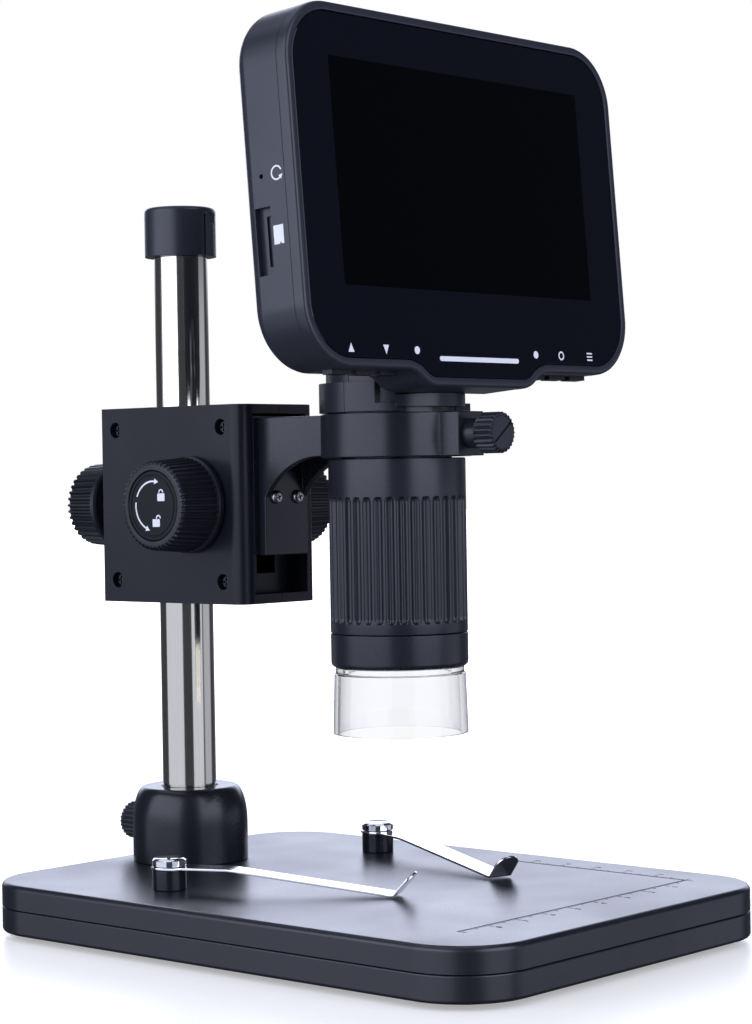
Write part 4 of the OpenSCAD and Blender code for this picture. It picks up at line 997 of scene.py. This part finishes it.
# %% Arm screws
def cross_screw(radius, height, shank_radius, shank_length):
    """A pan-head screw along Z with a cross recess."""
    bm = spun([
        (0, -shank_length), (shank_radius, -shank_length), (shank_radius, 0), (radius, 0),
        (radius, height * 0.45), (radius * 0.86, height * 0.82), (radius * 0.62, height), (0, height),
    ], 40)
    bmesh.ops.dissolve_faces(bm, faces=faces_at(bm, height))
    cut_recess(bm, height, radius * 0.13, radius * 0.5, height * 0.6, [20, 110])
    return bm


SCREW_X, SCREW_RADIUS, SCREW_HEAD = 4, 1.8, 1.1
arm_low, arm_high = node_box("arm_screws")
heads = bmesh.new()
for side in (-1, 1):
    bm = cross_screw(SCREW_RADIUS, SCREW_HEAD, 0.95, arm_high.y - arm_low.y - SCREW_HEAD)
    middle = at(side * SCREW_X, arm_low.y + SCREW_HEAD, (arm_low.z + arm_high.z) / 2)
    join(heads, bm, middle @ turned(90, "X"))
make_piece(heads, "arm_screw_pair", screw_zinc, "arm", ["arm_screws"])

# %% [markdown]
# ## The camera head
#
# The focus ring is the part that fingers find first: thirty-six grooves with rounded ends, between
# two plain bands. Its inside is a plain bore, so the stations start at the bore's top, run down it,
# round the lower edge and up the outside. Near the ends of the grooves the stations lie close
# together, which is what makes the ends round. The nose ring and the clear shroud are plain spins.

# %% Focus ring
HEAD_Y, RING_BORE, RING_EDGE = -20.0, 14.05, 0.25
GRIP_FLUTES, GRIP_WIDTH, GRIP_DEPTH, GRIP_END = 36, 0.62, 0.95, 1.4
low, high = node_box("focus_ring")
radius = (high.x - low.x) / 2
groove_low, groove_top = low.z + 2.6, low.z + 34.4
steps = [0, 0.06, 0.2, 0.42, 0.7, 1.1, GRIP_END]
outside = [groove_low + step for step in steps] + [groove_top - step for step in reversed(steps)]
bm = fluted([
    (RING_BORE, high.z, 0), (RING_BORE, low.z, 0), (radius - RING_EDGE, low.z, 0),
    (radius, low.z + RING_EDGE, 0), *[(radius, height) for height in outside],
    (radius, high.z - RING_EDGE, 0), (radius - RING_EDGE, high.z, 0),
], GRIP_FLUTES, round_groove(GRIP_WIDTH, GRIP_DEPTH, groove_low, groove_top, GRIP_END), 10, bore=True)
place = at(0, HEAD_Y)
make_piece(bm, "grip_ring", satin_black, "focus_ring", ["focus_ring"], place, crease=50)

# %% Nose ring and clear shroud
NOSE_BORE, NOSE_LIP, HOOD_BORE, HOOD_SEAT = 12.0, 15.0, 13.1, 14.7
low, high = node_box("nose_ring")
radius, top, shelf = (high.x - low.x) / 2, high.z, low.z + 4.4
bm = spun([
    (NOSE_LIP, low.z), (radius - 0.9, low.z), (radius - 0.25, low.z + 0.45), (radius, low.z + 1.2),
    (radius, top), (14.1, top), (14.0, top - 2), (NOSE_BORE, top - 2), (NOSE_BORE, shelf), (NOSE_LIP, shelf),
], 128)
soften(bm, 0.15, 3, 50)
make_piece(bm, "nose_band", satin_black, "head", ["nose_ring"], place)

low, high = node_box("shroud")
radius, top, step_top, step = (high.x - low.x) / 2, high.z, high.z - 2.75, high.z - 4.4
bm = spun([
    (HOOD_BORE, top), (HOOD_SEAT, top), (HOOD_SEAT, step_top), (radius - 0.8, step_top),
    (radius - 0.8, step + 0.1), (radius - 0.45, step - 0.05), (radius, low.z + 0.8), (radius, low.z),
    (radius - 1.7, low.z), (radius - 2.1, step), (HOOD_BORE, step),
], 128)
soften(bm, 0.15, 3, 50)
make_piece(bm, "clear_shroud", clear_acrylic, "shroud", ["shroud"], place)

# %% [markdown]
# ## The screen's outline
#
# The screen's bezel, its back and its glass all follow one outline: a rectangle with four large
# round corners and a chin that dips in a soft curve. A section is given as pairs of how far in and
# how high. Each pair becomes a loop of the outline, and neighbouring loops are bridged.

# %% Loops of the outline
SCREEN_Y, SCREEN_Z, LEAN = -44.25, 189.8, 4.55
to_display = at(0, SCREEN_Y, SCREEN_Z) @ turned(90 - LEAN, "X")
SCREEN_SIDE, SCREEN_TOP, SCREEN_LOW, SCREEN_CORNER = 62.2, 39.7, -46.3, 15.0
CHIN_FLAT, CHIN_SLOPE, CHIN_DROP, CHIN_EASE = 19.5, 5.0, 4.0, 2.6
CHIN_TURN = math.tan(math.atan2(CHIN_DROP, CHIN_SLOPE) / 2)


def outline_loop(bm, inset, height):
    """One loop of edges along the screen's outline."""
    older = set(bm.verts)
    side, top, low = SCREEN_SIDE - inset, SCREEN_TOP - inset, SCREEN_LOW + inset
    flat = CHIN_FLAT - CHIN_TURN * inset
    slope = flat + CHIN_SLOPE
    corners = list(polygon(bm, [
        (side, top), (-side, top), (-side, low), (-slope, low), (-flat, low - CHIN_DROP),
        (flat, low - CHIN_DROP), (slope, low), (side, low),
    ]).verts)
    bevel(bm, corners[:3] + corners[7:], SCREEN_CORNER - inset, 20, "VERTICES")
    bevel(bm, [corners[3], corners[6]], CHIN_EASE + CHIN_TURN * inset, 6, "VERTICES")
    bevel(bm, corners[4:6], CHIN_EASE - CHIN_TURN * inset, 6, "VERTICES")
    fresh = [vert for vert in bm.verts if vert not in older]
    for vert in fresh:
        vert.co.z = height
    inside = once(face for vert in fresh for face in vert.link_faces)
    bmesh.ops.delete(bm, geom=inside, context="FACES_ONLY")
    return once(edge for vert in fresh for edge in vert.link_edges)


def along_outline(section, ring=False):
    """A solid whose section, as pairs of inset and height, follows the screen's outline."""
    bm = bmesh.new()
    loops = [outline_loop(bm, inset, height) for inset, height in section]
    for one, other in zip(loops, loops[1:] + loops[:1] if ring else loops[1:]):
        bmesh.ops.bridge_loops(bm, edges=one + other)
    if not ring:
        bmesh.ops.edgeloop_fill(bm, edges=loops[0])
        bmesh.ops.edgeloop_fill(bm, edges=loops[-1])
    bmesh.ops.recalc_face_normals(bm, faces=bm.faces)
    return bm


# %% Bezel
GLASS_THICK, RIM, LIP, BEZEL_BACK = 1.5, 2.2, 2.2, -2.7
bm = along_outline([
    (0, BEZEL_BACK), (0, -0.6), (0.1, -0.15), (0.4, 0.17), (0.85, 0.3), (RIM - 0.4, 0.3), (RIM - 0.1, 0.2),
    (RIM, -0.05), (RIM, -GLASS_THICK - 0.05), (RIM + LIP, -GLASS_THICK - 0.05), (RIM + LIP, BEZEL_BACK),
], ring=True)
make_piece(bm, "screen_bezel", screen_grey, "head", ["display_frame"], to_display)

# %% [markdown]
# ## The screen's back
#
# The back is a tub with a large soft edge all round. On its left are a sunk pocket with the card
# slot in it and a pinhole, on its right the charging port, below it six holes for the keys, and at
# the back four screw holes. A rectangle is sliced out of the flat wall and pushed in, or sliced out
# of both sides of the wall and bridged. A round hole starts as a square one: its edges are bridged
# to a circle, and the circle goes in.

# %% Rectangles out of a flat wall
def flat_wall(bm, place, outward):
    """The faces of the nearly flat wall that a place lies on."""
    return [
        face for face in bm.faces
        if face.normal.dot(outward) > 0.992 and abs((face.verts[0].co - place).dot(outward)) < 0.25
    ]


def slice_out(bm, place, outward, across, half_across, half_along):
    """Slices a rectangle out of a flat wall and returns its faces."""
    along = outward.cross(across)
    for direction, half in ((across, half_across), (along, half_along)):
        for sign in (-1, 1):
            slice_faces(bm, flat_wall(bm, place, outward), place + direction * half * sign, direction)
    inside = []
    for face in flat_wall(bm, place, outward):
        away = face.calc_center_median() - place
        if abs(away.dot(across)) < half_across and abs(away.dot(along)) < half_along:
            inside.append(face)
    return inside


def sink(bm, place, outward, across, half_across, half_along, depth):
    """Pushes a rectangle of a flat wall in."""
    push(bm, slice_out(bm, place, outward, across, half_across, half_along), -outward * depth)


# %% Holes through a wall and into it
def open_up(bm, place, outward, across, half_across, half_along):
    """Takes a rectangle out of a flat wall and returns the edges round the hole."""
    inside = slice_out(bm, place, outward, across, half_across, half_along)
    edges = once(edge for face in inside for edge in face.edges)
    border = [edge for edge in edges if sum(face not in inside for face in edge.link_faces) == 1]
    bmesh.ops.delete(bm, geom=inside, context="FACES")
    return border


def pierce(bm, place, outward, across, half_across, half_along, wall):
    """A rectangular hole through a wall."""
    outer = open_up(bm, place, outward, across, half_across, half_along)
    inner = open_up(bm, place - outward * wall, -outward, across, half_across, half_along)
    bmesh.ops.bridge_loops(bm, edges=outer + inner)


def drill(bm, place, outward, across, radius, depth):
    """A round blind hole in a flat wall."""
    square = open_up(bm, place, outward, across, 1.25 * radius, 1.25 * radius)
    frame_of_hole = Matrix((across, outward.cross(across), outward)).transposed().to_4x4()
    frame_of_hole.translation = place
    ring = bmesh.ops.create_circle(bm, segments=32, radius=radius, matrix=frame_of_hole)["verts"]
    circle = once(edge for vert in ring for edge in vert.link_edges)
    bmesh.ops.bridge_loops(bm, edges=square + circle)
    made = bmesh.ops.extrude_edge_only(bm, edges=circle)["geom"]
    deep = verts_of(made)
    bmesh.ops.translate(bm, vec=-outward * depth, verts=deep)
    bmesh.ops.edgeloop_fill(bm, edges=edges_of(made, deep))


# %% Tub with its openings
TUB_IN, TUB_FRONT, TUB_BACK, TUB_WALL, TUB_EDGE = 0.06, -2.8, -16.8, 2.0, 3.5
TUB_SIDE = SCREEN_SIDE - TUB_IN
LEFT, RIGHT, UP, DOWN = Vector((-1, 0, 0)), Vector((1, 0, 0)), Vector((0, 1, 0)), Vector((0, -1, 0))
FRONT, BACK = Vector((0, 0, 1)), Vector((0, 0, -1))
POCKET, POCKET_DEEP = Vector((-TUB_SIDE, -16.2, -10.6)), 1.45
PINHOLE, PORT = Vector((-TUB_SIDE, -1.1, -10.3)), Vector((TUB_SIDE, -17.0, -9.8))
POCKET_HALF, SLOT_HALF, PORT_HALF, KEY_HALF = (7.9, 2.5), (5.9, 0.9), (4.0, 1.6), (3.35, 1.65)
KEYS_X, KEYS_DEEP = (-45.6, -37.1, -28.6, 28.6, 37.1, 45.6), -6.5
SCREWS_X, SCREWS_Y, SCREW_HOLE = 55.8, (24.7, -31.3), 2.5
bm = along_outline([
    (TUB_IN + TUB_WALL, TUB_BACK + TUB_WALL), (TUB_IN + TUB_WALL, TUB_FRONT), (TUB_IN + 0.15, TUB_FRONT),
    (TUB_IN, TUB_FRONT - 0.15),
    *[(TUB_IN + TUB_EDGE * (1 - out), TUB_BACK + TUB_EDGE * (1 - up)) for out, up in quarter_circle(15)],
])
sink(bm, POCKET, LEFT, UP, *POCKET_HALF, POCKET_DEEP)
pierce(bm, POCKET + Vector((POCKET_DEEP, 0, 0.7)), LEFT, UP, *SLOT_HALF, TUB_WALL - POCKET_DEEP)
drill(bm, PINHOLE, LEFT, UP, 0.6, 1.6)
pierce(bm, PORT, RIGHT, UP, *PORT_HALF, TUB_WALL)
for x in KEYS_X:
    pierce(bm, Vector((x, SCREEN_LOW + TUB_IN, KEYS_DEEP)), DOWN, RIGHT, *KEY_HALF, TUB_WALL)
for x in (-SCREWS_X, SCREWS_X):
    for y in SCREWS_Y:
        drill(bm, Vector((x, y, TUB_BACK)), BACK, RIGHT, SCREW_HOLE, 1.0)
bmesh.ops.recalc_face_normals(bm, faces=bm.faces)
make_piece(bm, "screen_back", screen_grey, "head", ["display_housing"], to_display)

# %% [markdown]
# ## The glass front
#
# The glass lies a little inside the bezel's rim. Its front face is sliced along four lines, so that
# the picture area can have its own, deeper black.

# %% Cover glass with its picture area
GLASS_IN, PICTURE_WIDE, PICTURE_HIGH = 2.35, 95.0, 53.9
bm = along_outline([
    (GLASS_IN, -GLASS_THICK), (GLASS_IN, -0.25), (GLASS_IN + 0.08, -0.08), (GLASS_IN + 0.25, 0),
])
for face in slice_out(bm, Vector(), FRONT, RIGHT, PICTURE_WIDE / 2, PICTURE_HIGH / 2):
    face.material_index = 1
glass = [cover_glass, picture_black]
make_piece(bm, "front_glass", glass, "head", ["glass_panel"], to_display, crease=25)

# %% [markdown]
# ## Marks on the glass and on the side
#
# Each key has a small white sign above it: up, down, a dot for taking a picture, a dot for power, a
# ring for confirming and three lines for the menu. A longer bar marks the middle of the chin. The
# side has a card next to its slot and a turning arrow next to the reset hole.

# %% Key signs
SIGN_Y, DOT_RADIUS, RING_IN, RING_OUT = -41.7, 0.95, 0.75, 1.15
UP_X, DOWN_X, SNAP_X, POWER_X, OK_X, MENU_X = -47.0, -34.7, -23.5, 22.5, 33.0, 45.0
bm = bmesh.new()
polygon(bm, [(UP_X - 1.0, SIGN_Y - 1.0), (UP_X + 1.0, SIGN_Y - 1.0), (UP_X, SIGN_Y + 1.2)])
polygon(bm, [(DOWN_X - 1.0, SIGN_Y + 1.0), (DOWN_X, SIGN_Y - 1.2), (DOWN_X + 1.0, SIGN_Y + 1.0)])
for x in (SNAP_X, POWER_X):
    disc(bm, x, SIGN_Y, DOT_RADIUS)
rectangle(bm, 0, SIGN_Y - 1.8, 30.6, 1.2, 0.58, 6)
arc_band(bm, OK_X, SIGN_Y, RING_IN, RING_OUT, 0, 360, 32)
for line in (-0.85, 0.0, 0.85):
    rectangle(bm, MENU_X, SIGN_Y + line, 2.3, 0.38, 0.15, 3)
bmesh.ops.remove_doubles(bm, verts=bm.verts, dist=0.001)
raise_faces(bm, INK)
make_piece(bm, "key_signs", white_ink, "head", place=to_display)

# %% Signs on the left side
side_face = to_display @ Matrix(((0, 0, -1, -TUB_SIDE), (0, 1, 0, 0), (1, 0, 0, 0), (0, 0, 0, 1)))
bm = bmesh.new()
polygon(bm, [
    (-7.6, -17.4), (-5.9, -17.4), (-5.6, -16.9), (-5.2, -17.4), (-4.5, -17.4), (-4.5, -13.0), (-7.6, -13.0)
])
arc_band(bm, -5.4, -1.0, 1.35, 1.75, 20, 310, 28)
arrow_tip(bm, -5.4, -1.0, 1.55, 310, 0.6, 1)
raise_faces(bm, INK)
make_piece(bm, "side_signs", white_ink, "head", place=side_face)

# %% [markdown]
# ## Lamps
#
# One tall soft panel stands on the left, one in front, and a weak one hangs above. The tall panels
# start a little above the table, which leaves the lower parts of the object darker. A panel's size
# follows from the angle that it fills as seen from the object, and its power from its size.

# %% Soft panels
COOL = (0.76, 0.81, 1.0)
PANEL_LOW, PANEL_HIGH, PANEL_AWAY = 0.11, 1.50, 1.4


def soft_light(name, place, target, width, height, watts):
    """A broad area light that isn't seen by the camera itself."""
    data = bpy.data.lights.new(name, "AREA")
    data.shape, data.size, data.size_y, data.energy, data.color = "RECTANGLE", width, height, watts, COOL
    lamp = bpy.data.objects.new(name, data)
    bpy.context.scene.collection.objects.link(lamp)
    lamp.location = place
    lamp.rotation_euler = (Vector(target) - Vector(place)).to_track_quat("-Z", "Y").to_euler()
    lamp.visible_camera = False
    print(f"{name}: {watts:.1f} W")


middle = (PANEL_LOW + PANEL_HIGH) / 2
for name, compass, half_turn, radiance in (
    ("left panel", 168.5, 36.5, 2.5), ("front panel", 269.5, 24.5, 2.7),
):
    place = Matrix.Rotation(math.radians(compass), 3, "Z") @ Vector((PANEL_AWAY, 0, middle))
    width, height = 2 * PANEL_AWAY * math.tan(math.radians(half_turn)), PANEL_HIGH - PANEL_LOW
    soft_light(name, place, (0, 0, middle), width, height, radiance * math.pi * width * height)
soft_light("top panel", (0.1, 0.3, 1.42), (0, 0, 0.12), 1.4, 1.4, 6.0)

# %% [markdown]
# ## The white room
#
# The camera sees a plain white room, also through clear plastic. Mirror-like surfaces see a dim one,
# with a bright wall behind the object and, low down, the panels once more as a shiny table shows
# them. About a third of the room's light reaches dull surfaces and fills the shadows.

# %% What each kind of ray sees
world = bpy.data.worlds.new("white room")
bpy.context.scene.world = world
world.use_nodes = True
sky = world.node_tree
ray = sky.nodes.new("ShaderNodeLightPath").outputs
direction = sky.nodes.new("ShaderNodeTexCoord").outputs["Generated"]
rise = add_node(sky, "SeparateXYZ", {0: direction}).outputs["Z"]


def sky_math(operation, *values):
    """One step of arithmetic in the world."""
    return calculate(sky, operation, *values)


def sky_range(value, start, end):
    """0 up to the start, 1 from the end on, with a soft step between them."""
    return ramp(sky, value, start, end, interpolation_type="SMOOTHSTEP")


def sky_toward(compass, near, far):
    """1 within an angle from a compass direction, 0 outside a wider one."""
    heading = (math.cos(math.radians(compass)), math.sin(math.radians(compass)), 0)
    closeness = add_node(sky, "VectorMath", {0: direction, 1: heading}, operation="DOT_PRODUCT")
    return sky_range(closeness.outputs["Value"], math.cos(math.radians(far)), math.cos(math.radians(near)))


DIM, FILL, TABLE, STRIP = 0.075, 0.35, 0.9, 0.6
BEHIND, LEFT_SIDE, IN_FRONT, RIGHT_SIDE = 41.5, 166, 269.5, 320
wall_glow = sky_math("MULTIPLY_ADD", sky_range(rise, 0.05, 0.14), 2.8, 0.1)
wall = sky_math("MULTIPLY", sky_toward(BEHIND, 20, 42), wall_glow)
panels = sky_math("MAXIMUM", sky_toward(LEFT_SIDE, 39, 42), sky_toward(IN_FRONT, 23, 26))
in_table = sky_math("MULTIPLY", panels, sky_math("MULTIPLY", sky_range(rise, 0.10, 0.02), TABLE))
strip_glow = sky_math("MULTIPLY", sky_range(rise, 0.12, 0.05), STRIP)
strip = sky_math("MULTIPLY", sky_toward(RIGHT_SIDE, 14, 26), strip_glow)
room = sky_math("ADD", sky_math("MAXIMUM", sky_math("MAXIMUM", wall, in_table), strip), DIM)
bounced = sky_math("SUBTRACT", ray["Is Glossy Ray"], ray["Is Transmission Ray"])
mirrored = sky_math("MULTIPLY", sky_math("MAXIMUM", bounced, 0.0), room)
seen = sky_math("MAXIMUM", ray["Is Camera Ray"], ray["Is Transmission Ray"])
lit = sky_math("MULTIPLY", ray["Is Diffuse Ray"], FILL)
background = sky.nodes["Background"].inputs
wire(sky, background["Strength"], sky_math("ADD", sky_math("MAXIMUM", seen, mirrored), lit))
wire(sky, background["Color"], blend(sky, seen, COOL, (1.0, 1.0, 1.0), "RGBA"))
print("nodes in the world:", len(sky.nodes))

# %% [markdown]
# ## The floor
#
# The floor is one pale face. For the camera it also glows, faintly under the object and fully far
# away, so that it runs into the white room without a line. The glow is there for the camera's own
# rays alone, so it adds no light to the object, which keeps its soft shadow.

# %% Floor
GLOW_NEAR, GLOW_FAR, GLOW_LOW, GLOW_HIGH = 0.3, 1.2, 0.36, 1.1
floor_white, tree, shader = start_finish(
    "floor white", Roughness=0.35, Base_Color=(0.86, 0.83, 0.78), Emission_Color=(1.0, 1.0, 1.0)
)
spot = tree.nodes.new("ShaderNodeTexCoord").outputs["Object"]
away = add_node(tree, "VectorMath", {0: spot}, operation="LENGTH").outputs["Value"]
fade = ramp(tree, away, GLOW_NEAR, GLOW_FAR, GLOW_LOW, GLOW_HIGH)
by_camera = tree.nodes.new("ShaderNodeLightPath").outputs["Is Camera Ray"]
wire(tree, shader["Emission Strength"], calculate(tree, "MULTIPLY", by_camera, fade))
bm = bmesh.new()
bmesh.ops.create_grid(bm, x_segments=1, y_segments=1, size=6.0)
mesh = bpy.data.meshes.new("floor")
bm.to_mesh(mesh)
bm.free()
mesh.materials.append(floor_white)
floor = bpy.data.objects.new("floor", mesh)
bpy.context.scene.collection.objects.link(floor)
floor.visible_glossy, floor.visible_transmission = False, False
floor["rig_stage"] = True

# %% [markdown]
# ## The camera
#
# A long lens from the front left, just above the base, tilted a little. Its place is in metres, and
# its compass, dip and roll angles are in degrees. A camera looks along its own -Z, so it is rolled
# first, then raised to the horizon and dipped, and last turned to its compass direction.

# %% Camera
CAMERA_AT, COMPASS, DIP, ROLL, FOCAL_LENGTH = (-0.48640, -0.44411, 0.11867), 48.43, 0.84, 0.93, 89.62
lens = bpy.data.cameras.new("camera")
lens.sensor_width, lens.lens = 36.0, FOCAL_LENGTH
camera = bpy.data.objects.new("camera", lens)
bpy.context.scene.collection.objects.link(camera)
aim = turned(-COMPASS, "Z") @ turned(90 - DIP, "X") @ turned(-ROLL, "Z")
camera.matrix_world = Matrix.Translation(CAMERA_AT) @ aim
bpy.context.scene.camera = camera
bpy.context.scene.view_settings.view_transform = "Standard"
print("camera:", FOCAL_LENGTH, "mm lens at", CAMERA_AT)

# %% Sizes, and the end
low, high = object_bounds()
print("visual size in mm:", [round(1000 * side, 1) for side in high - low])
